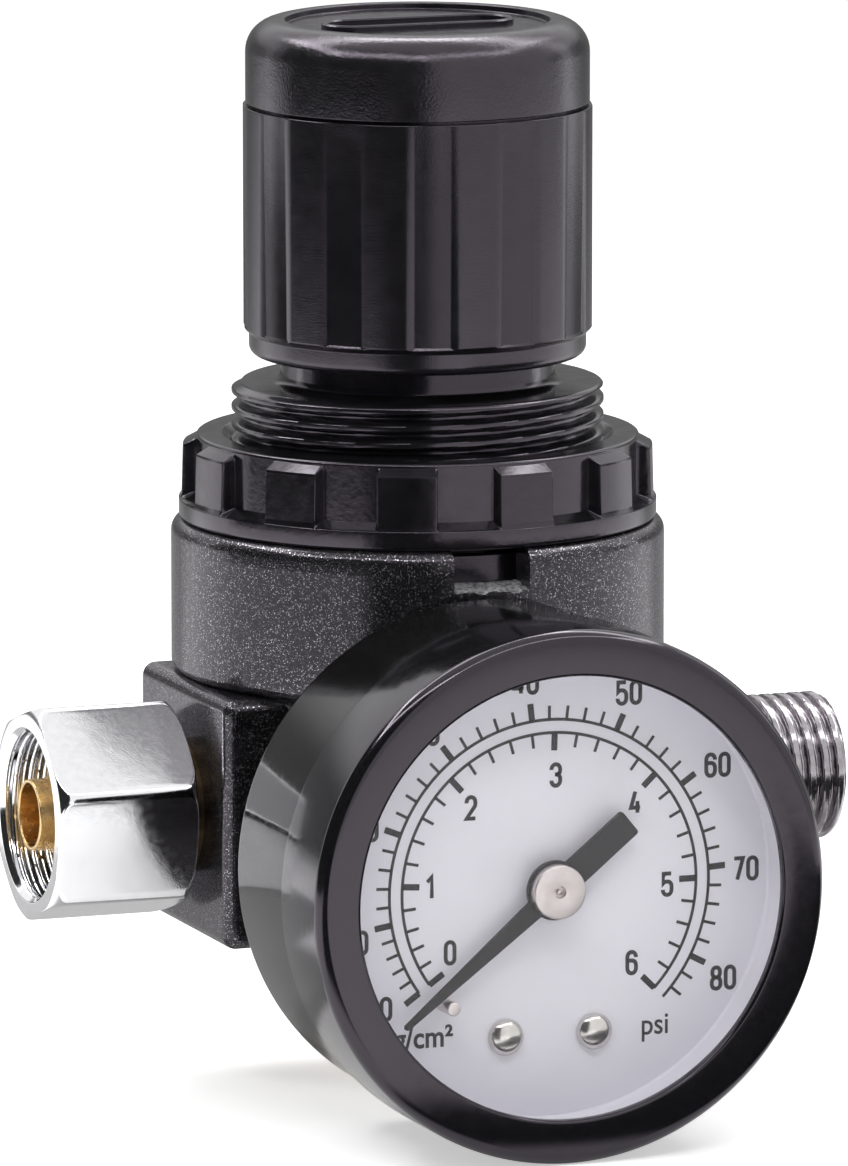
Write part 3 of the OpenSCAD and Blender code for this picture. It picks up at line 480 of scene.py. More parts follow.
BODY_PAINT = flecked_paint()
SATIN_BLACK = moulded_black("satin_black", INK, rough=(0.17, 0.23), grain=0.13, reach=0.014)
PEBBLED_BLACK = moulded_black(
    "pebbled_black", ((0.005, 0.005, 0.0055), (0.010, 0.010, 0.011)), rough=(0.18, 0.26), grain=0.24,
    reach=0.026)
RING_BLACK = moulded_black("ring_black", INK, rough=(0.12, 0.20), grain=0.5, reach=0.009)
CASE_BLACK = gloss_enamel(
    "case_black", ((0.003, 0.003, 0.003), (0.006, 0.006, 0.006)), rough=(0.08, 0.14), peel=0.006, sheen=0.30)
BEZEL_BLACK = gloss_enamel("bezel_black", INK, rough=(0.10, 0.16), peel=0.003, sheen=0.60)
CHROME = plated("chrome", (0.87, 0.87, 0.89), (0.93, 0.93, 0.95), (0.07, 0.13), 0.003)
THREAD_METAL = plated("thread_metal", (0.32, 0.30, 0.32), (0.46, 0.44, 0.46), (0.12, 0.22), 0.004)
BRASS = plated("brass", (0.70, 0.47, 0.20), (0.82, 0.60, 0.30), (0.18, 0.30), 0.004)
NICKEL = plated("nickel", (0.62, 0.60, 0.57), (0.72, 0.70, 0.67), (0.16, 0.26), 0.003)
DULL_BRASS = plated("dull_brass", (0.05, 0.035, 0.02), (0.11, 0.075, 0.04), (0.35, 0.5), 0.004)
WHITE_METAL = plated("white_metal", (0.70, 0.64, 0.63), (0.78, 0.72, 0.71), (0.30, 0.45), 0.003)
STEEL = plated("steel", (0.50, 0.50, 0.52), (0.62, 0.62, 0.64), (0.22, 0.34), 0.004)
RUBBER = soft_rubber()
CLEAR = clear_plastic()
BARE_METAL = painted("bare_metal", (0.10, 0.10, 0.105), (0.48, 0.48, 0.49), 0.4, (0.15, 0.30), 0.03)
WHITE_MOULDING = painted("white_moulding", (0.75, 0.75, 0.72), (0.84, 0.84, 0.80), 1.5, (0.4, 0.55), 0.006)
DIAL_WHITE = painted("dial_white", (0.78, 0.765, 0.83), (0.82, 0.805, 0.87), 7, (0.40, 0.50), 0.004)
DIAL_PRINT = painted("dial_print", (0.010, 0.008, 0.010), (0.022, 0.019, 0.022), 0.5, (0.45, 0.6), 0.003)
POINTER_GREY = painted(
    "pointer_grey", (0.010, 0.009, 0.010), (0.019, 0.017, 0.018), 0.8, (0.40, 0.55), 0.006)

# Body: a round bowl on a port block, cast in one, with a notch in its rim

BODY_R = 21.75
RIM_Z = 24.7
RIM_ROUND = 1.2
BLOCK_HALF = (22.0, 11.7, 11.05)
BLOCK_ROUND = 1.2
BOWL_EDGE = (21.35, 11.4)
BOWL_FOOT = (12.5, 4.5)
BOWL_SLOPE = (BOWL_EDGE[0] - BOWL_FOOT[0]) / (BOWL_EDGE[1] - BOWL_FOOT[1])
BODY_FILLET = 0.5
BORE_R = 18.2
LEDGE_Z = 15.0
CHAMBER_R = 15.0
CHAMBER_Z = 12.0
NOTCH_X = -0.9
NOTCH_HALF = 3.45
NOTCH_DEPTH = 3.2
NOTCH_FALL = 0.12
NOTCH_BACK = -12.0
NOTCH_FRONT = -BODY_R - 2
PORT_R = 4.96
PIPE_PORT = (13, 24)
GAUGE_PORT = (8.5, 13)
PLUG_HOLE_R = 7.5
PLUG_HOLE = (-12, -6.85)
BOSS_R = 7.5
BOSS_FOOT_R = 8.6
BOSS_BACK = 10.5
BOSS_FRONT = 14.5


def block_radius(angles, inset):
    """Distance from the knob axis to the sides of the port block, whose corners are rounded."""
    along = np.abs(np.cos(angles))
    across = np.abs(np.sin(angles))
    half_x = BLOCK_HALF[0] - inset
    half_y = BLOCK_HALF[1] - inset
    corner = max(BLOCK_ROUND - inset, 0.05)
    r = np.minimum(half_x / np.maximum(along, 1e-6), half_y / np.maximum(across, 1e-6))
    mid_x = half_x - corner
    mid_y = half_y - corner
    towards = mid_x * along + mid_y * across
    inside = towards ** 2 - mid_x ** 2 - mid_y ** 2 + corner ** 2
    rounded = towards + np.sqrt(np.maximum(inside, 0))
    in_corner = (r * along > mid_x) & (r * across > mid_y)
    return np.where(in_corner, rounded, r)


def bowl_radius(z):
    return BOWL_EDGE[0] + (z - BOWL_EDGE[1]) * BOWL_SLOPE


def body_form():
    corner = math.degrees(math.atan2(BLOCK_HALF[1], BLOCK_HALF[0]))
    angles = stepped_angles(180, (-corner, corner), 3.5, 0.75, 0.2)
    top = BLOCK_HALF[2]
    straight = top - BLOCK_ROUND
    arc = np.linspace(0, math.pi / 2, 9)
    edge = [(BLOCK_ROUND * (1 - math.cos(t)), BLOCK_ROUND * math.sin(t)) for t in arc]
    rows = [(-top, 0 * angles), (-top, 0.6 * block_radius(angles, BLOCK_ROUND))]
    rows += [(-straight - rise, block_radius(angles, inset)) for inset, rise in edge[::-1]]
    levels = [(0, z) for z in np.linspace(-straight, 2, 14)[1:]]
    levels += [(0, z) for z in np.linspace(2, straight, 44)[1:]]
    levels += [(inset, straight + rise) for inset, rise in edge[1:]]
    for inset, z in levels:
        rows.append((z, soft_max(block_radius(angles, inset), bowl_radius(z) + 0 * angles, BODY_FILLET)))
    above = outline([
        (bowl_radius(top), top), BOWL_EDGE + (0.3,), (BODY_R, BOWL_EDGE[1] + 0.5, 0.3),
        (BODY_R, RIM_Z, RIM_ROUND), (BORE_R, RIM_Z, 0.25), (BORE_R, LEDGE_Z), (CHAMBER_R, LEDGE_Z),
        (CHAMBER_R, CHAMBER_Z), (0, CHAMBER_Z),
    ], closed=False, steps=8)
    above = refined(above, 1.0, BOWL_EDGE[1], RIM_Z, closed=False)
    rows += [(z, r + 0 * angles) for r, z in above]
    heights = np.array([z + 0 * angles for z, r in rows])
    return woven(np.array([r for z, r in rows]), heights, angles, closed=False)


def round_hole(r, low, high):
    points = outline([(0, low), (r, low), (r, high), (0, high)], closed=False)
    return turned(points, even_angles(96), closed=False)


def notch_cutter():
    """The notch in the rim. Its floor falls outward and is ridged, as broken out of the casting."""
    across = np.linspace(-NOTCH_HALF, NOTCH_HALF, 47)
    along = np.concatenate([[NOTCH_BACK], np.linspace(-17.5, -22.5, 41), [NOTCH_FRONT]])
    x, y = np.meshgrid(across, along)
    wander = 0.10 * np.sin(1.9 * x + 0.7) + 0.07 * np.sin(4.3 * x + 2.1) + 0.04 * np.sin(9.7 * x)
    ridge = np.sin((y + wander * 2.5) * 4.6) * (0.09 + 0.04 * np.sin(2.7 * x + 1.0))
    in_wall = ease(-y, BORE_R - 0.3, BORE_R + 0.3)
    floor = RIM_Z - NOTCH_DEPTH + (y + BORE_R) * NOTCH_FALL + (ridge + wander * 0.4) * in_wall
    rows, columns = x.shape
    low = np.stack([x + NOTCH_X, y, floor], axis=2).reshape(-1, 3)
    high = np.stack([x + NOTCH_X, y, 0 * floor + RIM_Z + 2], axis=2).reshape(-1, 3)
    count = rows * columns
    floor_faces = quads(rows, columns, False, False)
    faces = floor_faces + [tuple(count + n for n in face) for face in floor_faces]
    ring = list(range(columns - 1)) + [i * columns + columns - 1 for i in range(rows - 1)]
    ring += [count - 1 - j for j in range(columns - 1)]
    ring += [(rows - 1 - i) * columns for i in range(rows - 1)]
    for n, k in enumerate(ring):
        after = ring[(n + 1) % len(ring)]
        faces.append((k, after, count + after, count + k))
    return np.concatenate([low, high]), faces


def body_cutters():
    """The notch in the rim, the two pipe ports, the gauge port and the plug hole."""
    forms = [(notch_cutter(), UPRIGHT)]
    forms += [(round_hole(PORT_R, *PIPE_PORT), side) for side in (INLET, OUTLET)]
    forms += [(round_hole(PORT_R, *GAUGE_PORT), GAUGE), (round_hole(PLUG_HOLE_R, *PLUG_HOLE), UPRIGHT)]
    return [mesh_of("cut", [form], place) for form, place in forms]


def cut(mesh, cutters):
    """Takes the cutters out of a mesh. New faces carry the cutters' materials."""
    holder = bpy.data.objects.new("holder", mesh)
    bpy.context.scene.collection.objects.link(holder)
    tools = []
    for cutter in cutters:
        tool = bpy.data.objects.new("tool", cutter)
        bpy.context.scene.collection.objects.link(tool)
        tools.append(tool)
        step = holder.modifiers.new("cut", "BOOLEAN")
        step.operation = "DIFFERENCE"
        step.solver = "EXACT"
        step.material_mode = "TRANSFER"
        step.object = tool
    bpy.context.view_layer.update()
    result = bpy.data.meshes.new_from_object(holder.evaluated_get(bpy.context.evaluated_depsgraph_get()))
    for spare in [holder, *tools]:
        bpy.data.objects.remove(spare)
    return result


def make_body():
    mesh = mesh_of("body_casting", [body_form()], UPRIGHT)
    mesh.materials.append(BODY_PAINT)
    cutters = body_cutters()
    for cutter in cutters:
        cutter.materials.append(BODY_PAINT)
        cutter.materials.append(BARE_METAL)
    for face in cutters[0].polygons:
        face.material_index = 1 if face.normal.z < -0.5 else 0
    show("body_casting", cut(mesh, cutters), BODY_PAINT, "housing", ["body"], sharp=40)
    boss = outline([
        (PORT_R, BOSS_BACK), (BOSS_FOOT_R, BOSS_BACK), (BOSS_R, BOSS_BACK + 1.5, 0.8),
        (BOSS_R, BOSS_FRONT, 0.5), (PORT_R, BOSS_FRONT, 0.3),
    ])
    make("gauge_boss", [turned(boss, even_angles(120))], GAUGE, BODY_PAINT, "housing", ["body"])


make_body()

# Bonnet: skirt in the body, screw thread for the ring nut, neck inside the knob

BONNET_FOOT = 16.2
BONNET_FLANGE_R = 18.1
BONNET_FLANGE_TOP = 24.0
BONNET_BARREL_R = 16.0
BONNET_BORE_R = 14.5
BONNET_BORE_TOP = 33.7
BONNET_THREAD_R = 16.4
BONNET_THREAD_PITCH = 1.5
BONNET_THREAD_CUT = 0.9
THREAD_LOW = 31.4
BONNET_SHOULDER = 36.7
NECK_R = 12.1
NECK_TOP = 52.0
GUIDE_R = 9.5
GUIDE_FLATS = 19
GUIDE_TOP = 49.0
SCREW_HOLE_R = 4.3


def bonnet_shape(r, turn, z):
    """Cuts the screw thread, and makes the nut's guide inside a hexagon."""
    thread = (r > BONNET_BORE_R + 0.4) & (r < 17) & (z > THREAD_LOW) & (z < BONNET_SHOULDER + 0.01)
    rounded = BONNET_THREAD_R - thread_depth(turn, z, BONNET_THREAD_PITCH, BONNET_THREAD_CUT)
    r = np.where(thread, np.minimum(r, rounded), r)
    guide = (r > GUIDE_R - 1.5) & (r < GUIDE_R + 0.5) & (z > BONNET_BORE_TOP - 0.7) & (z < GUIDE_TOP + 0.5)
    return np.where(guide, hexagon(turn, GUIDE_FLATS, 30), r)


def make_bonnet():
    corners = [
        (BONNET_BORE_R, BONNET_FOOT), (BONNET_FLANGE_R, BONNET_FOOT, 0.3),
        (BONNET_FLANGE_R, BONNET_FLANGE_TOP, 0.3), (BONNET_BARREL_R, BONNET_FLANGE_TOP),
        (BONNET_BARREL_R, THREAD_LOW - 0.05), (BONNET_THREAD_R, THREAD_LOW),
        (BONNET_THREAD_R, BONNET_SHOULDER, 0.45), (NECK_R, BONNET_SHOULDER, 0.8), (NECK_R, NECK_TOP, 0.5),
        (SCREW_HOLE_R, NECK_TOP, 0.2), (SCREW_HOLE_R, GUIDE_TOP), (GUIDE_R, GUIDE_TOP),
        (GUIDE_R, BONNET_BORE_TOP), (BONNET_BORE_R, BONNET_BORE_TOP, 0.5),
    ]
    points = refined(outline(corners), 0.075, THREAD_LOW, BONNET_SHOULDER)
    outside = points[:, 0] > BONNET_BORE_R + 0.1
    beyond = (points[:, 1] < THREAD_LOW - 0.4) | (points[:, 1] > BONNET_SHOULDER - 0.7)
    every_eighth = np.arange(len(points)) % 8 == 0
    points = points[outside | beyond | every_eighth]
    make("bonnet_casting", [turned(points, even_angles(480), bonnet_shape)], UPRIGHT, RING_BLACK,
         "housing", ["bonnet"])


make_bonnet()

# Ring nut: twelve square ribs over a lip, with sloped tops

RING_H = 7.45
RIB_PERIOD = 30
RIB_FIRST = 7.5
RIB_HALF = 7.5
RING_WALL_R = 19.5
RIB_R = 20.7
LIP_R = 21.06
LIP_H = 1.7
LIP_TOP = 1.75
RING_BORE_R = 16.1
RING_MOUTH_R = 17.25


def ring_shape(r, turn, z):
    """Draws the ribs above the lip, each with a sloped top."""
    z = z - RIM_Z
    wall = np.interp(z, [LIP_TOP, LIP_TOP + 0.6, RING_H], [LIP_R - 0.12, RING_WALL_R, RING_WALL_R])
    rib = np.interp(z, [LIP_TOP, LIP_TOP + 0.35, RING_H - 1.0, RING_H - 0.35, RING_H],
                    [LIP_R - 0.12, RIB_R + 0.12, RIB_R, RING_WALL_R, RING_WALL_R])
    aside = np.abs(from_centre(turn, RIB_PERIOD, RIB_FIRST))
    share = 1 - ease(aside, RIB_HALF - 0.5, RIB_HALF + 0.35)
    side = wall + (rib - wall) * share
    outer = (r > RING_WALL_R - 0.01) & (z > LIP_TOP)
    return np.where(outer, np.minimum(side, r), r)


def make_ring_nut():
    corners = [
        (RING_BORE_R, 0), (LIP_R, 0, 0.45), (LIP_R, LIP_H, 0.15), (LIP_R - 0.05, LIP_H + 0.06),
        (LIP_R - 0.05, RING_H - 0.5), (RING_WALL_R + 0.02, RING_H - 0.32), (RING_WALL_R, RING_H, 0.3),
        (RING_MOUTH_R, RING_H, 0.12), (RING_BORE_R, RING_H - 1.1, 0.2),
    ]
    corners = [(c[0], c[1] + RIM_Z, *c[2:]) for c in corners]
    points = refined(outline(corners), 0.12, RIM_Z + LIP_H, RIM_Z + RING_H)
    angles = stepped_angles(RIB_PERIOD, (RIB_FIRST - RIB_HALF, RIB_FIRST + RIB_HALF), 0.9, 1.0, 0.12)
    make("ring_nut_moulding", [turned(points, angles, ring_shape)], UPRIGHT, RING_BLACK,
         "housing", ["ring_nut"])


make_ring_nut()

# Knob: fluted skirt, pebbled cap with a recess and a raised frame, hexagonal hub and lock teeth inside

KNOB_Z = 39.1
KNOB_TOP = 68.7
SKIRT_R = 15.4
COLLAR_R = 14.85
COLLAR_TOP = 41.1
SEAM_Z = 61.2
SEAM_GAP = 0.25
SEAM_R = 14.55
CAP_R = 15.13
CAP_ROUND = 2.8
KNOB_BORE_R = 12.9
KNOB_ROOF = 65.4
FLUTE_PERIOD = 30
FLUTE_FIRST = 15
FLUTE_DEPTH = (0.11, 0.50)
FLUTE_FLOOR = 3.0
FLUTE_HALF = 9.7
FLUTE_RUN_OUT = 0.55
RECESS_R = 11.6
RECESS_FLOOR = KNOB_TOP - 0.6
PILL_HALF = (6.0, 2.8)
PILL_RIB = 0.6
DRIVE_FLATS = 6.96
HUB_R = 6.2
HUB_Z = 54.4
SOCKET_R = 3.5
SOCKET_TOP = 65.2
LOCK_TEETH = 24
TOOTH_HALF = 3.0
KNOB_TEETH = (45.2, 47.2)


def skirt_shape(r, turn, z):
    """Shallow flutes with a round floor, deeper at the foot, where each runs out over a slope."""
    aside = np.abs(from_centre(turn, FLUTE_PERIOD, FLUTE_FIRST))
    depth = FLUTE_DEPTH[1] + (FLUTE_DEPTH[0] - FLUTE_DEPTH[1]) * ease(z, COLLAR_TOP, COLLAR_TOP + 5)
    sunk = depth * (1 - ease(aside, FLUTE_FLOOR, FLUTE_HALF))
    slope = np.maximum(z - COLLAR_TOP - 0.1, 0) * FLUTE_RUN_OUT
    flute = SKIRT_R - np.minimum(sunk, slope)
    fluted = (r > SEAM_R) & (z > COLLAR_TOP)
    return np.where(fluted, soft_min(r, flute, 0.05), r)


def pill(half_length, half_width, steps=24):
    """A long outline with round ends."""
    turn = np.linspace(-math.pi / 2, math.pi / 2, steps)
    right = [(half_length + half_width * math.cos(t), half_width * math.sin(t)) for t in turn]
    return right + [(-x, -y) for x, y in right]


def raised_frame(low, high):
    """A closed rib that follows a pill outline, with eased upper edges."""
    ease_in = 0.12
    insets = (0, 0, ease_in, PILL_RIB - ease_in, PILL_RIB, PILL_RIB)
    heights = (low, high - ease_in, high, high, high - ease_in, low)
    loops = [pill(PILL_HALF[0], PILL_HALF[1] - inset) for inset in insets]
    corners = np.array([(x, y, z) for loop, z in zip(loops, heights) for x, y in loop])
    return corners, quads(len(loops), len(loops[0]), True, True)


def tooth_block(inner, outer, low, high, centre):
    """One lock tooth, a short wedge of a ring."""
    turn = np.radians(np.linspace(centre - TOOTH_HALF, centre + TOOTH_HALF, 5))
    points = [(inner * math.cos(t), inner * math.sin(t)) for t in turn]
    points += [(outer * math.cos(t), outer * math.sin(t)) for t in turn[::-1]]
    return plate(points, low, high)


def hub_shape(r, turn, z):
    """Makes the socket for the adjusting screw a hexagon."""
    socket = (r > SOCKET_R - 0.5) & (r < SOCKET_R + 0.5)
    return np.where(socket, hexagon(turn, DRIVE_FLATS + 0.2, 30), r)


def make_knob():
    skirt = outline([
        (KNOB_BORE_R, KNOB_Z, 0.3), (COLLAR_R, KNOB_Z, 0.9), (COLLAR_R, COLLAR_TOP - 0.05, 0.15),
        (SKIRT_R, COLLAR_TOP + 0.5, 0.25), (SKIRT_R, SEAM_Z, 0.12), (KNOB_BORE_R, SEAM_Z),
    ])
    skirt = refined(skirt, 0.09, COLLAR_TOP - 0.1, COLLAR_TOP + 1.2)
    skirt = refined(skirt, 0.8, COLLAR_TOP + 1, SEAM_Z)
    wall = (FLUTE_FLOOR + FLUTE_HALF) / 2
    angles = stepped_angles(FLUTE_PERIOD, (FLUTE_FIRST - wall, FLUTE_FIRST + wall), 3.4, 0.9, 0.3)
    make("knob_skirt", [turned(skirt, angles, skirt_shape)], UPRIGHT, SATIN_BLACK, "knob", ["knob"],
         sharp=50)
    cap = outline([
        (KNOB_BORE_R, SEAM_Z), (SEAM_R, SEAM_Z), (SEAM_R, SEAM_Z + SEAM_GAP),
        (CAP_R, SEAM_Z + SEAM_GAP, 0.12), (CAP_R, KNOB_TOP, CAP_ROUND),
        (RECESS_R, KNOB_TOP, 0.15), (RECESS_R, RECESS_FLOOR, 0.15), (0, RECESS_FLOOR), (0, KNOB_ROOF),
        (KNOB_BORE_R, KNOB_ROOF, 0.6),
    ], steps=12)
    make("knob_cap", [turned(cap, even_angles(240)), raised_frame(RECESS_FLOOR - 0.1, KNOB_TOP - 0.1)],
         UPRIGHT, PEBBLED_BLACK, "knob", ["knob"])
    hub = outline([
        (HUB_R, HUB_Z, 0.3), (HUB_R, KNOB_ROOF + 0.2), (0, KNOB_ROOF + 0.2), (0, SOCKET_TOP),
        (SOCKET_R, SOCKET_TOP), (SOCKET_R, HUB_Z),
    ])
    socket = [turned(refined(hub, 3), even_angles(120), hub_shape)]
    teeth = [tooth_block(NECK_R + 0.2, KNOB_BORE_R + 0.1, *KNOB_TEETH, (k + 0.5) * 360 / LOCK_TEETH)
             for k in range(LOCK_TEETH)]
    make("knob_hub", socket + teeth, UPRIGHT, SATIN_BLACK, "knob", ["knob"])


make_knob()

# Inlet nipple and the swivel union on the outlet

PIPE_PITCH = 1.337
PIPE_CUT = 0.72
STEM_R = 4.86
STEM_END = 13.5
INLET_R = 6.58
INLET_BORE_R = 3.4
INLET_MOUTH_R = 4.1
INLET_RELIEF_R = 5.7
INLET_SHOULDER = 27.5
INLET_END = 38.5
INLET_COLLAR = 23.0
INLET_FLATS = 15
COLLAR_FACE_R = 7.1
SWIVEL_BACK = 23.5
SWIVEL_MOUTH = 36.4
SWIVEL_FLATS = 17.5
SWIVEL_FACE = 18
SWIVEL_END_R = 8.6
SWIVEL_ROUND = 2.8
SWIVEL_BORE_R = 5.26
SWIVEL_THREAD_R = 7.2
SWIVEL_THREAD_CUT = 0.6
SWIVEL_RELIEF_R = 7.7
MOUTH_R = 7.7
SWIVEL_FLOOR = 26.9
THREAD_START = SWIVEL_FLOOR + 4
NOSE_TIP = 36.2
NOSE_R = 3.15
NOSE_BORE_R = 2.8
NOSE_NECK = 34.6
NOSE_SHOULDER_R = 6.65
FLANGE_R = 7.05
FLANGE_BACK = 27.05
FLANGE_FRONT = 28.75


def inlet_shape(r, turn, z):
    """Makes the collar a hexagon and cuts the pipe thread."""
    collar = (r > COLLAR_FACE_R - 0.1) & (z < INLET_SHOULDER + 0.01)
    r = np.where(collar, soft_min(r, hexagon(turn, INLET_FLATS, 30), 0.2), r)
    thread = (r > INLET_RELIEF_R - 0.1) & (z > INLET_SHOULDER + 0.8)
    rounded = INLET_R - thread_depth(turn, z, PIPE_PITCH, PIPE_CUT, 0.34, 0.1)
    return np.where(thread, np.minimum(r, rounded), r)


def make_inlet():
    collar_r = INLET_FLATS / math.sqrt(3) + 0.1
    corners = [
        (INLET_BORE_R, STEM_END), (STEM_R, STEM_END, 0.2), (STEM_R, INLET_COLLAR),
        (COLLAR_FACE_R, INLET_COLLAR), (collar_r, INLET_COLLAR + 1.0), (collar_r, INLET_SHOULDER - 1.0),
        (COLLAR_FACE_R, INLET_SHOULDER), (INLET_RELIEF_R, INLET_SHOULDER),
        (INLET_RELIEF_R, INLET_SHOULDER + 0.9), (INLET_R, INLET_SHOULDER + 1.6), (INLET_R, INLET_END, 0.75),
        (INLET_MOUTH_R, INLET_END, 0.1), (INLET_BORE_R, INLET_END - 0.7),
    ]
    points = refined(outline(corners), 0.07, INLET_SHOULDER + 0.9, INLET_END)
    keep = (points[:, 0] > INLET_BORE_R + 0.2) | (np.arange(len(points)) % 10 == 0)
    points = refined(points[keep], 0.25, INLET_COLLAR, INLET_SHOULDER)
    make("inlet_thread_nipple", [turned(points, even_angles(240), inlet_shape)], INLET, THREAD_METAL,
         "housing", ["inlet_nipple"], sharp=45)


def swivel_shape(r, turn, z):
    """Makes the outside a hexagon and cuts the thread inside."""
    hexed = soft_min(r, hexagon(turn, SWIVEL_FLATS, SWIVEL_FACE, 0.18), 0.18)
    r = np.where(r > MOUTH_R + 0.5, hexed, r)
    threaded = (np.abs(r - SWIVEL_THREAD_R) < 0.02) & (z > THREAD_START)
    groove = SWIVEL_THREAD_CUT - thread_depth(turn, z, PIPE_PITCH, SWIVEL_THREAD_CUT)
    return np.where(threaded, r + groove, r)


def swivel_end(end, inward):
    """Outline from an end face of the swivel nut out to its corners, squarer than a circle's quarter."""
    corner_r = SWIVEL_FLATS / math.sqrt(3) + 0.1
    turn = np.linspace(0, math.pi / 2, 15)
    r = SWIVEL_END_R + (corner_r - SWIVEL_END_R) * np.sin(turn) ** 0.8
    z = end + inward * SWIVEL_ROUND * (1 - np.abs(np.cos(turn)) ** 0.8)
    return list(zip(r, z))


def make_swivel():
    corners = [(SWIVEL_BORE_R, SWIVEL_BACK, 0.2)]
    corners += swivel_end(SWIVEL_BACK, 1)
    corners += swivel_end(SWIVEL_MOUTH, -1)[::-1]
    corners += [
        (MOUTH_R, SWIVEL_MOUTH, 0.15), (SWIVEL_THREAD_R, SWIVEL_MOUTH - 0.5), (SWIVEL_THREAD_R, THREAD_START),
        (SWIVEL_RELIEF_R, THREAD_START - 0.1), (SWIVEL_RELIEF_R, SWIVEL_FLOOR), (SWIVEL_BORE_R, SWIVEL_FLOOR),
    ]
    points = refined(outline(corners), 0.11, SWIVEL_BACK, SWIVEL_MOUTH)
    make("swivel_nut_hex", [turned(points, even_angles(360), swivel_shape)], OUTLET, CHROME,
         "swivel_nut", ["swivel_nut"], sharp=45)
    nose = outline([
        (NOSE_BORE_R, STEM_END), (STEM_R, STEM_END, 0.2), (STEM_R, FLANGE_BACK), (FLANGE_R, FLANGE_BACK, 0.2),
        (FLANGE_R, FLANGE_FRONT, 0.2), (NOSE_SHOULDER_R, FLANGE_FRONT), (NOSE_R, NOSE_NECK, 0.6),
        (NOSE_R, NOSE_TIP, 0.12), (NOSE_BORE_R, NOSE_TIP, 0.1),
    ])
    make("brass_nose", [turned(nose, even_angles(160))], OUTLET, BRASS, "housing", ["outlet_nipple"])


make_inlet()
make_swivel()

# Gauge: enamelled case, bezel, clear lens, printed dial, pointer

CASE_BACK = 22.5
CASE_FRONT = 43.2
CASE_R = 22.37
CASE_WALL = 0.8
BEZEL_BACK = 36.6
BEZEL_FRONT = 46.1
BEZEL_R = 23.17
APERTURE_R = 19.24
LENS_BACK = 43.8
LENS_FRONT = 45.2
LENS_R = 22.17
DIAL_BACK = 39.7
DIAL_FRONT = 40.2
DIAL_R = 20.67
DIAL_HOLE_R = 1.5
DIAL_RIM_R = 19.95
PRINT_TOP = DIAL_FRONT + 0.03
SCREW_SPOTS = ((4.05, -12.8), (-4.05, -12.8))
SCREW_R = 0.9
DOME_R = 1.6
DOME_RISE = 0.75
STOP_ANGLE = -134.3
STOP_REACH = 13.6
STOP_R = 0.6
STOP_TOP = DIAL_FRONT + 2.9
POINTER_REST = -129.4
POINTER_BACK = 41.4
POINTER_FRONT = 41.9
HUB_CAP_R = 2.35
HUB_FRONT = 42.9


def on_dial(angle, r):
    """Place on the dial, for an angle clockwise from straight up."""
    return r * math.sin(math.radians(angle)), r * math.cos(math.radians(angle))


def scale_angle(psi):
    """Angle of a pressure on the dial. The first ten are drawn closer together than the rest."""
    return float(np.interp(psi, [0, 10, 80, 86], [-125.4, -99.4, 117.7, 136.4]))


PSI_PER_METRIC_UNIT = 14.223
PSI_ARC_R = 14.6
METRIC_ARC_R = 13.45
ARC_WIDTH = 0.26
TICK_WIDTH = 0.26
MAJOR_WIDTH = 0.55
TICK_L = 1.2
MAJOR_L = 1.55


def printed_arc(r):
    """A printed arc along the whole scale."""
    start, end = scale_angle(0), scale_angle(PSI_TOP + 0.4)
    sweep = np.linspace(start, end, int(abs(end - start) / 1.5))
    points = [on_dial(a, r + ARC_WIDTH / 2) for a in sweep]
    points += [on_dial(a, r - ARC_WIDTH / 2) for a in sweep[::-1]]
    return plate(points, DIAL_FRONT, PRINT_TOP)


def scale_mark(angle, r, outward, major):
    """A mark from an arc of the scale, longer and broader where a number stands."""
    end = r + outward * (MAJOR_L if major else TICK_L)
    along = np.array(on_dial(angle, 1))
    across = np.array([along[1], -along[0]]) * (MAJOR_WIDTH if major else TICK_WIDTH) / 2
    points = [along * r - across, along * r + across, along * end + across, along * end - across]
    return plate(points, DIAL_FRONT, PRINT_TOP)


UNIT_H = 1.9
UNIT_SQUEEZE = 0.9


def lettering(words, weight, x, y):
    """Flat printed characters with their middle at a place on the dial."""
    curve = bpy.data.curves.new("lettering", "FONT")
    curve.body = words
    curve.size = UNIT_H * 1.4
    curve.offset = weight
    curve.extrude = (PRINT_TOP - DIAL_FRONT) / 2
    curve.resolution_u = 5
    holder = bpy.data.objects.new("lettering", curve)
    bpy.context.scene.collection.objects.link(holder)
    bpy.context.view_layer.update()
    mesh = bpy.data.meshes.new_from_object(holder.evaluated_get(bpy.context.evaluated_depsgraph_get()))
    corners = np.array([v.co[:] for v in mesh.vertices])
    faces = [tuple(p.vertices) for p in mesh.polygons]
    bpy.data.objects.remove(holder)
    corners[:, 0] *= UNIT_SQUEEZE
    middle = (corners.min(axis=0) + corners.max(axis=0)) / 2
    corners += np.array([x, y, (PRINT_TOP + DIAL_FRONT) / 2]) - middle
    return corners, faces


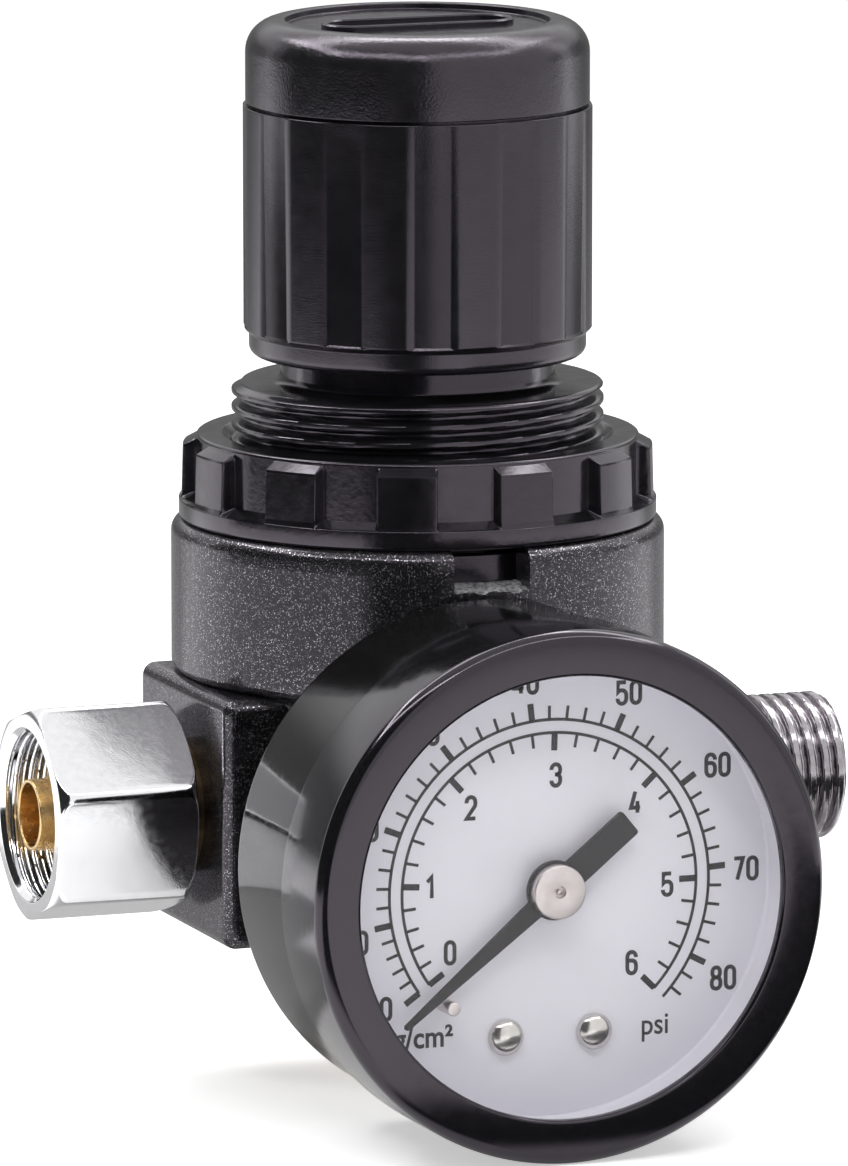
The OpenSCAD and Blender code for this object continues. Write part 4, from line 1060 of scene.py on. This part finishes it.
# Narrow digits, as strokes in a box one wide and two high, some of whose corners have a radius
DIGIT_STROKES = {
    "0": [[(0, 0, 0.48), (1, 0, 0.48), (1, 2, 0.48), (0, 2, 0.48), "closed"]],
    "1": [[(0.1, 1.5), (0.6, 2), (0.6, 0)]],
    "2": [[(0, 1.45), (0, 2, 0.48), (1, 2, 0.48), (1, 1.2, 0.3), (0, 0), (1, 0)]],
    "3": [[(0, 1.5), (0, 2, 0.48), (1, 2, 0.48), (1, 1.05, 0.4), (0.4, 1.05)],
          [(0.4, 1.05), (1, 1.05, 0.4), (1, 0, 0.48), (0, 0, 0.48), (0, 0.5)]],
    "4": [[(0.5, 2), (0, 0.5), (1.05, 0.5)], [(0.75, 1.1), (0.75, 0)]],
    "5": [[(0.95, 2), (0.08, 2), (0.02, 1.05), (0.2, 1.25, 0.1), (1, 1.25, 0.45), (1, 0, 0.48),
           (0, 0, 0.48), (0, 0.5)]],
    "6": [[(1, 1.5), (1, 2, 0.48), (0, 2, 0.48), (0, 0, 0.48), (1, 0, 0.48), (1, 1.2, 0.45), (0, 1.2)]],
    "7": [[(0, 2), (1, 2), (0.35, 0)]],
    "8": [[(0, 0, 0.45), (1, 0, 0.45), (1, 1.06, 0.45), (0, 1.06, 0.45), "closed"],
          [(0.06, 1.06, 0.42), (0.94, 1.06, 0.42), (0.94, 2, 0.42), (0.06, 2, 0.42), "closed"]],
}
DIGIT_W = 0.80
DIGIT_H = 1.86
DIGIT_STROKE = 0.35
DIGIT_PITCH = 1.28


def stroke(points, width, closed):
    """A printed line of even width along a row of points."""
    if closed:
        ahead = np.roll(points, -1, axis=0) - points
        back = points - np.roll(points, 1, axis=0)
    else:
        steps = np.diff(points, axis=0)
        ahead = np.concatenate([steps, steps[-1:]])
        back = np.concatenate([steps[:1], steps])
    ahead /= np.linalg.norm(ahead, axis=1)[:, None]
    back /= np.linalg.norm(back, axis=1)[:, None]
    along = ahead + back
    along /= np.linalg.norm(along, axis=1)[:, None]
    half = width / 2 / np.clip((along * ahead).sum(axis=1), 0.5, 1)
    across = np.stack([-along[:, 1], along[:, 0]], axis=1) * half[:, None]
    sides = [(points + across, DIAL_FRONT), (points + across, PRINT_TOP),
             (points - across, PRINT_TOP), (points - across, DIAL_FRONT)]
    count = len(points)
    corners = np.concatenate([np.column_stack([side, np.full(count, z)]) for side, z in sides])
    faces = quads(len(sides), count, True, closed)
    if not closed:
        first = tuple(k * count for k in range(len(sides)))
        faces += [first, tuple(k + count - 1 for k in first[::-1])]
    return corners, faces


def number(value, middle):
    """A number in narrow printed digits with its middle at a place on the dial."""
    digits = str(value)
    forms = []
    for i, digit in enumerate(digits):
        left = middle[0] + (i - (len(digits) - 1) / 2) * DIGIT_PITCH - DIGIT_W / 2
        for line in DIGIT_STROKES[digit]:
            closed = line[-1] == "closed"
            centre = outline(line[:-1] if closed else line, closed=closed, steps=5)
            centre = centre * (DIGIT_W, DIGIT_H / 2) + (left, middle[1] - DIGIT_H / 2)
            forms.append(stroke(centre, DIGIT_STROKE, closed))
    return forms


PSI_DIGIT_R = 18.05
METRIC_DIGIT_R = 10.55
PSI_TOP = 85
METRIC_TOP = 6
METRIC_ZERO_TURN = 7
# How far each number stands from its mark's own line, to the right and up
PSI_SHIFTS = ((-0.2, 0.8), (0.1, -0.8), (0, -0.6), (-0.3, -0.3), (-0.2, 0), (-0.3, 0.1), (0.5, -0.45),
              (0, -0.55), (0, -0.55))
METRIC_SHIFTS = ((0.2, -0.1), (-0.3, 0), (-0.1, -0.45), (0.2, -0.8), (0.25, -0.4), (0.25, -0.4), (0, 0.3))


def dial_print():
    marks = [printed_arc(PSI_ARC_R), printed_arc(METRIC_ARC_R)]
    for psi in range(0, PSI_TOP + 1, 2):
        major = psi % 10 == 0
        angle = scale_angle(psi)
        marks.append(scale_mark(angle, PSI_ARC_R, 1, major))
        if major:
            marks += number(psi, np.add(on_dial(angle, PSI_DIGIT_R), PSI_SHIFTS[psi // 10]))
    for fifth in range(METRIC_TOP * 5 + 1):
        major = fifth % 5 == 0
        angle = scale_angle(fifth / 5 * PSI_PER_METRIC_UNIT)
        marks.append(scale_mark(angle, METRIC_ARC_R, -1, major))
        if major:
            angle += METRIC_ZERO_TURN if fifth == 0 else 0
            marks += number(fifth // 5, np.add(on_dial(angle, METRIC_DIGIT_R), METRIC_SHIFTS[fifth // 5]))
    marks.append(lettering("psi", 0.02, 9.7, -12.9))
    marks.append(lettering("kg/cm²", 0.05, -12.0, -12.6))
    return marks


def disc(corners, steps):
    """An outline from the axis and back to it, turned into a closed form."""
    return turned(outline(corners, closed=False), even_angles(steps), closed=False)


def make_case():
    inner_r = CASE_R - CASE_WALL
    case = outline([
        (PORT_R, CASE_BACK), (CASE_R, CASE_BACK, 1.0), (CASE_R, CASE_FRONT), (inner_r, CASE_FRONT),
        (inner_r, CASE_BACK + CASE_WALL, 0.6), (PORT_R, CASE_BACK + CASE_WALL),
    ])
    make("gauge_case_shell", [turned(case, even_angles(256))], GAUGE, CASE_BLACK, "housing", ["gauge_case"])
    bezel = outline([
        (CASE_R + 0.05, BEZEL_BACK), (BEZEL_R, BEZEL_BACK, 0.3), (BEZEL_R, BEZEL_FRONT, 1.1),
        (APERTURE_R, BEZEL_FRONT, 0.3), (APERTURE_R, LENS_FRONT, 0.1), (CASE_R + 0.05, LENS_FRONT),
    ], steps=8)
    make("gauge_bezel_ring", [turned(bezel, even_angles(256))], GAUGE, BEZEL_BLACK, "housing",
         ["gauge_bezel"])
    lens = [(0, LENS_BACK), (LENS_R, LENS_BACK, 0.2), (LENS_R, LENS_FRONT, 0.2), (0, LENS_FRONT)]
    make("gauge_lens_disc", [disc(lens, 192)], GAUGE, CLEAR, "housing", ["gauge_lens"])


def make_dial():
    dial = outline([
        (DIAL_HOLE_R, DIAL_BACK), (DIAL_R, DIAL_BACK, 0.1), (DIAL_R, DIAL_FRONT, 0.1),
        (DIAL_HOLE_R, DIAL_FRONT),
    ])
    make("dial_face", [turned(dial, even_angles(192))], GAUGE, DIAL_WHITE, "housing", ["gauge_dial"])
    rim_top = LENS_BACK - 0.05
    rim = outline([
        (DIAL_RIM_R, DIAL_FRONT), (DIAL_R - 0.15, DIAL_FRONT), (DIAL_RIM_R + 0.55, rim_top),
        (DIAL_RIM_R + 0.3, rim_top, 0.1), (DIAL_RIM_R + 0.17, DIAL_FRONT + 0.3, 0.1),
        (DIAL_RIM_R, DIAL_FRONT + 0.1, 0.03),
    ])
    make("dial_rim", [turned(rim, even_angles(192))], GAUGE, DIAL_WHITE, "housing", ())
    make("dial_print", dial_print(), GAUGE, DIAL_PRINT, "housing", ())
    dome = [
        (0, DIAL_BACK - 2), (SCREW_R, DIAL_BACK - 2), (SCREW_R, DIAL_FRONT), (DOME_R, DIAL_FRONT, 0.05),
        (DOME_R, DIAL_FRONT + 0.25),
    ]
    for t in np.linspace(0.05, math.pi / 2, 10):
        dome.append(((DOME_R - 0.05) * math.cos(t), DIAL_FRONT + 0.3 + DOME_RISE * math.sin(t)))
    dome[-1] = (0, dome[-1][1])
    domes = [moved(disc(dome, 64), x, y) for x, y in SCREW_SPOTS]
    make("dial_screw_domes", domes, GAUGE, NICKEL, "housing", ["dial_screws"], sharp=50)
    pin = [(0, DIAL_BACK), (STOP_R, DIAL_BACK), (STOP_R, STOP_TOP, 0.12), (0, STOP_TOP)]
    stop = moved(disc(pin, 48), *on_dial(STOP_ANGLE, STOP_REACH))
    make("stop_pin_rod", [stop], GAUGE, WHITE_METAL, "housing", ["stop_pin"])


def pointer_outline():
    """Tapered needle, round base and broad tail, along the needle's own x axis."""
    length, root_half, tip_half = 17.55, 0.95, 0.25
    tail_l, tail_half, base_r = 8.8, 1.25, 2.6
    tail_corner = 0.25
    corner_cut = 0.07
    needle_x = 2.44
    needle_y = tip_half + (root_half - tip_half) * (length - needle_x) / (length + 0.2)
    needle_turn = math.atan2(needle_y, needle_x)
    tail_turn = math.pi - math.asin(tail_half / base_r)
    upper = [(length + 0.2, 0), (length, tip_half)]
    upper += [(base_r * math.cos(t), base_r * math.sin(t)) for t in np.linspace(needle_turn, tail_turn, 20)]
    upper += [
        (-tail_l + tail_corner, tail_half), (-tail_l + corner_cut, tail_half - corner_cut),
        (-tail_l, tail_half - tail_corner),
    ]
    return upper + [(x, -y) for x, y in upper[:0:-1]]


def make_pointer():
    place = GAUGE @ Matrix.Rotation(math.radians(90 - POINTER_REST), 4, "Z")
    needle = make("pointer_needle", [plate(pointer_outline(), POINTER_BACK, POINTER_FRONT)], place,
                  POINTER_GREY, "pointer", ["pointer"])
    soften(needle, 0.07)
    hub_back = POINTER_FRONT - 0.02
    hub = [
        (0, hub_back), (HUB_CAP_R, hub_back), (HUB_CAP_R, HUB_FRONT, 0.15), (0.52, HUB_FRONT, 0.05),
        (0.46, HUB_FRONT - 0.55, 0.05), (0.26, HUB_FRONT - 0.5, 0.05), (0.2, HUB_FRONT - 0.2, 0.05),
        (0, HUB_FRONT - 0.15),
    ]
    make("pointer_hub_cap", [disc(hub, 96)], GAUGE, WHITE_METAL, "pointer", ["pointer_hub"])


make_case()
make_dial()
make_pointer()

# CAD nodes that keep their own shape get a finish by material

NODE_FINISHES = (
    (BRASS, ["bottom_plug", "inlet_washer", "hairspring", "relief_disc", "spring_nut", "valve_pin",
             "valve_poppet", "gauge_socket", "dial_posts", "pinion_arbor", "sector_gear",
             "movement_plate_front", "movement_plate_rear", "bourdon_tube", "tube_tip"]),
    (STEEL, ["diaphragm_plate", "main_spring", "valve_spring", "adjusting_screw", "case_screws",
             "sector_arbor", "movement_pillars", "tip_link"]),
    (DULL_BRASS, ["outlet_washer"]),
    (RUBBER, ["plug_o_ring", "diaphragm", "poppet_seal", "lens_gasket"]),
    (WHITE_MOULDING, ["thrust_washer"]),
)
EDGED_NODES = ("bottom_plug", "gauge_socket", "inlet_washer", "outlet_washer", "case_screws")

for finish, nodes in NODE_FINISHES:
    for node in nodes:
        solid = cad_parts[node]
        solid.data.materials.clear()
        solid.data.materials.append(finish)

for node in EDGED_NODES:
    soften(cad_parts[node], 0.12)

# Springs, pressure tube and diaphragm as copies of their CAD nodes


def soft_copy(name, node):
    """A copy of a CAD node, with its finish."""
    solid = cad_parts[node]
    mesh = solid.data.copy()
    mesh.transform(solid.matrix_world)
    piece = bpy.data.objects.new(name, mesh)
    bpy.context.scene.collection.objects.link(piece)
    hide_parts(node)
    return piece


main_coil = soft_copy("main_spring_coil", "main_spring")
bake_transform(main_coil)
valve_coil = soft_copy("valve_spring_coil", "valve_spring")
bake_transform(valve_coil)
tube = soft_copy("pressure_tube", "bourdon_tube")
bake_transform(tube)
web = soft_copy("diaphragm_web", "diaphragm")
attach(web, "housing")
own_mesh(web)

# Stage: pale floor, white background, soft light; reflections see a white sweep with a dark camera side, and
# painted shadow and shade on the floor round the foot

FLOOR_Z = cad_low[2] - 0.00002
WHITE_SWEEP = 1.0
DARK_SIDE = 0.02
SOFT_LIGHT = 0.53
FLOOR_GLOW = 0.48
MIRRORED_GLOW = 0.2
# Across the edge of the wedge of painted shadow on the floor
SHADOW_WEDGE_ACROSS = (0.818, 0.576, 0)
LAMP_AIM = OBJECT_MIDDLE + Vector((0, 0, 0.02))
LAMP_DISTANCE = 0.5


class Field(Nodes):
    """Nodes that work out how dark a direction or a place on the floor is, seen in a reflection."""

    def __init__(self, tree):
        tree.nodes.clear()
        super().__init__(tree)

    def vector(self, operation, a, b=(0, 0, 0)):
        return self.work("ShaderNodeVectorMath", operation, a, b)

    def dot(self, source, axis):
        return self.vector("DOT_PRODUCT", source, axis)["Value"]

    def step(self, source, low, high):
        """Rises smoothly from 0 at low to 1 at high, or falls where low is above high."""
        node = self.add("ShaderNodeMapRange", Value=source, From_Min=low, From_Max=high)
        node.interpolation_type = "SMOOTHSTEP"
        return node.outputs["Result"]

    def sector(self, place, first, last, blur):
        """1 between two angles, in degrees to the right of the camera, round the upright axis."""
        angle = self.calc("ARCTAN2", self.dot(place, CAMERA_RIGHT), self.dot(place, CAMERA_FRONT))
        middle = math.radians((first + last) / 2)
        half = math.radians((last - first) / 2)
        apart = self.calc("ABSOLUTE", self.calc("SUBTRACT", angle, middle))
        return self.step(apart, half + math.radians(blur), half)

    def both(self, a, b):
        return self.calc("MULTIPLY", a, b)

    def either(self, a, b):
        return self.calc("MAXIMUM", a, b)

    def without(self, a, b):
        return self.both(a, self.calc("SUBTRACT", 1.0, b))

    def level(self, dark):
        """Brightness of a reflection, between the white sweep and the dark side."""
        node = self.add("ShaderNodeMapRange", Value=dark, To_Min=WHITE_SWEEP, To_Max=DARK_SIDE)
        return node.outputs["Result"]

    def sky(self, strength):
        return self.add("ShaderNodeBackground", Color=(1, 1, 1, 1), Strength=strength).outputs["Background"]

    def paper(self, shade, glow):
        """A matt surface that also glows a little."""
        matt = self.add("ShaderNodeBsdfDiffuse", Color=shade).outputs["BSDF"]
        glowing = self.add("ShaderNodeEmission", Strength=glow).outputs["Emission"]
        both = self.nodes.new("ShaderNodeAddShader")
        self.put(both.inputs[0], matt)
        self.put(both.inputs[1], glowing)
        return matt, both.outputs["Shader"]

    def choose(self, share, first, second):
        node = self.add("ShaderNodeMixShader", Fac=share)
        self.put(node.inputs[1], first)
        self.put(node.inputs[2], second)
        return node.outputs["Shader"]

    def by_ray(self, plain, mirrored, seen):
        """One shader for soft light, one for reflections and one for the camera."""
        path = self.nodes.new("ShaderNodeLightPath").outputs
        return self.choose(path["Is Camera Ray"], self.choose(path["Is Glossy Ray"], plain, mirrored), seen)


def make_world():
    world = bpy.data.worlds.new("studio")
    bpy.context.scene.world = world
    world.use_nodes = True
    field = Field(world.node_tree)
    direction = field.nodes.new("ShaderNodeTexCoord").outputs["Generated"]
    rise = field.dot(direction, (0, 0, 1))
    camera_side = field.both(field.sector(direction, -118, 7, 4), field.step(rise, 0.91, 0.85))
    far_side = field.without(field.step(rise, 0.32, 0.17), field.sector(direction, -118, 100, 6))
    dark = field.either(camera_side, field.both(far_side, 0.8))
    seen = field.by_ray(field.sky(SOFT_LIGHT), field.sky(field.level(dark)), field.sky(1.0))
    field.add("ShaderNodeOutputWorld", Surface=seen)


def floor_darkness(field, place):
    """How dark the floor is in reflections: the camera's side, a wedge of painted shadow on its right, grey
    painted shade round the foot.
    """
    reach = field.vector("LENGTH", place)["Value"]

    def patch(first, last, blur, start, end):
        """A sector of the floor that begins or ends between two distances from the middle."""
        return field.both(field.sector(place, first, last, blur), field.step(reach, start, end))

    camera_side = patch(-96, 7, 4, 0.07, 0.10)
    left_card = patch(-150, -30, 12, 0.34, 0.31)
    # Painted shadow: a dark wedge of floor on the camera's right, where the object's shadow falls
    shadow_wedge_edge = field.dot(place, SHADOW_WEDGE_ACROSS)
    painted_shadow_wedge = field.both(field.step(shadow_wedge_edge, -0.052, -0.044), field.step(reach, 0.205, 0.195))
    painted_shadow_wedge = field.both(painted_shadow_wedge, patch(0, 95, 6, 0.05, 0.056))
    # Painted shade: grey floor behind the object and under it
    painted_shade_behind = patch(-180, -104, 6, 0.150, 0.128)
    under = field.without(field.step(reach, 0.060, 0.045), field.sector(place, -50, 60, 8))
    far_back = field.without(field.step(reach, 0.08, 0.11), field.sector(place, -125, 125, 20))
    dark = field.either(field.without(camera_side, left_card), painted_shadow_wedge)
    for part, darkness in ((painted_shade_behind, 0.68), (under, 0.68), (far_back, 0.75)):
        dark = field.either(dark, field.both(part, darkness))
    return dark


def make_floor():
    rings = np.array([(0.0, 0.0), (0.08, 0.0), (0.3, 0.0), (1.5, 0.0)])
    corners, faces = turned(rings, even_angles(96), closed=False)
    middle = (-SHOULDER_X * MM, 0, FLOOR_Z)
    mesh = bpy.data.meshes.new("floor")
    mesh.from_pydata(corners.tolist(), [], faces)
    mesh.transform(Matrix.Translation(middle))
    floor = bpy.data.objects.new("floor", mesh)
    bpy.context.scene.collection.objects.link(floor)
    finish = bpy.data.materials.new("pale_floor")
    finish.use_nodes = True
    field = Field(finish.node_tree)
    spot = field.nodes.new("ShaderNodeNewGeometry").outputs["Position"]
    grain = field.add("ShaderNodeTexNoise", Vector=spot, Scale=400.0).outputs["Fac"]
    shade = field.add("ShaderNodeMapRange", Value=grain, To_Min=0.80, To_Max=0.84).outputs["Result"]
    matt, lit = field.paper(shade, FLOOR_GLOW)
    # The floor seen in reflections carries painted shadow and shade round the foot
    level = field.level(floor_darkness(field, field.vector("SUBTRACT", spot, middle)["Vector"]))
    mirrored = field.paper(level, field.both(level, MIRRORED_GLOW))[1]
    field.add("ShaderNodeOutputMaterial", Surface=field.by_ray(matt, mirrored, lit))
    mesh.materials.append(finish)


def make_lamp(name, azimuth, rise, width, height, power):
    """A soft box that faces the object; azimuth is in degrees to the right of the camera."""
    turn = math.radians(azimuth)
    level = CAMERA_FRONT * math.cos(turn) + CAMERA_RIGHT * math.sin(turn)
    towards = level * math.cos(math.radians(rise)) + Vector((0, 0, math.sin(math.radians(rise))))
    light = bpy.data.lights.new(name, "AREA")
    light.shape = "RECTANGLE"
    light.size = width
    light.size_y = height
    light.energy = power
    lamp = bpy.data.objects.new(name, light)
    bpy.context.scene.collection.objects.link(lamp)
    lamp.location = LAMP_AIM + towards * LAMP_DISTANCE
    lamp.rotation_euler = (-towards).to_track_quat("-Z", "Y").to_euler()


make_world()
make_floor()
make_lamp("left_box", -116, 10, 0.08, 0.4, 0.10)
make_lamp("right_box", 118, 14, 0.10, 0.5, 0.20)
for azimuth, power in ((-95, 0.75), (-30, 0.75), (35, 0.40), (100, 0.30)):
    make_lamp("top_strip", azimuth, 50, 0.5, 0.045, power)
for azimuth in (-150, 150):
    make_lamp("back_strip", azimuth, 60, 0.5, 0.12, 0.9)

bpy.context.scene.view_settings.view_transform = "Standard"
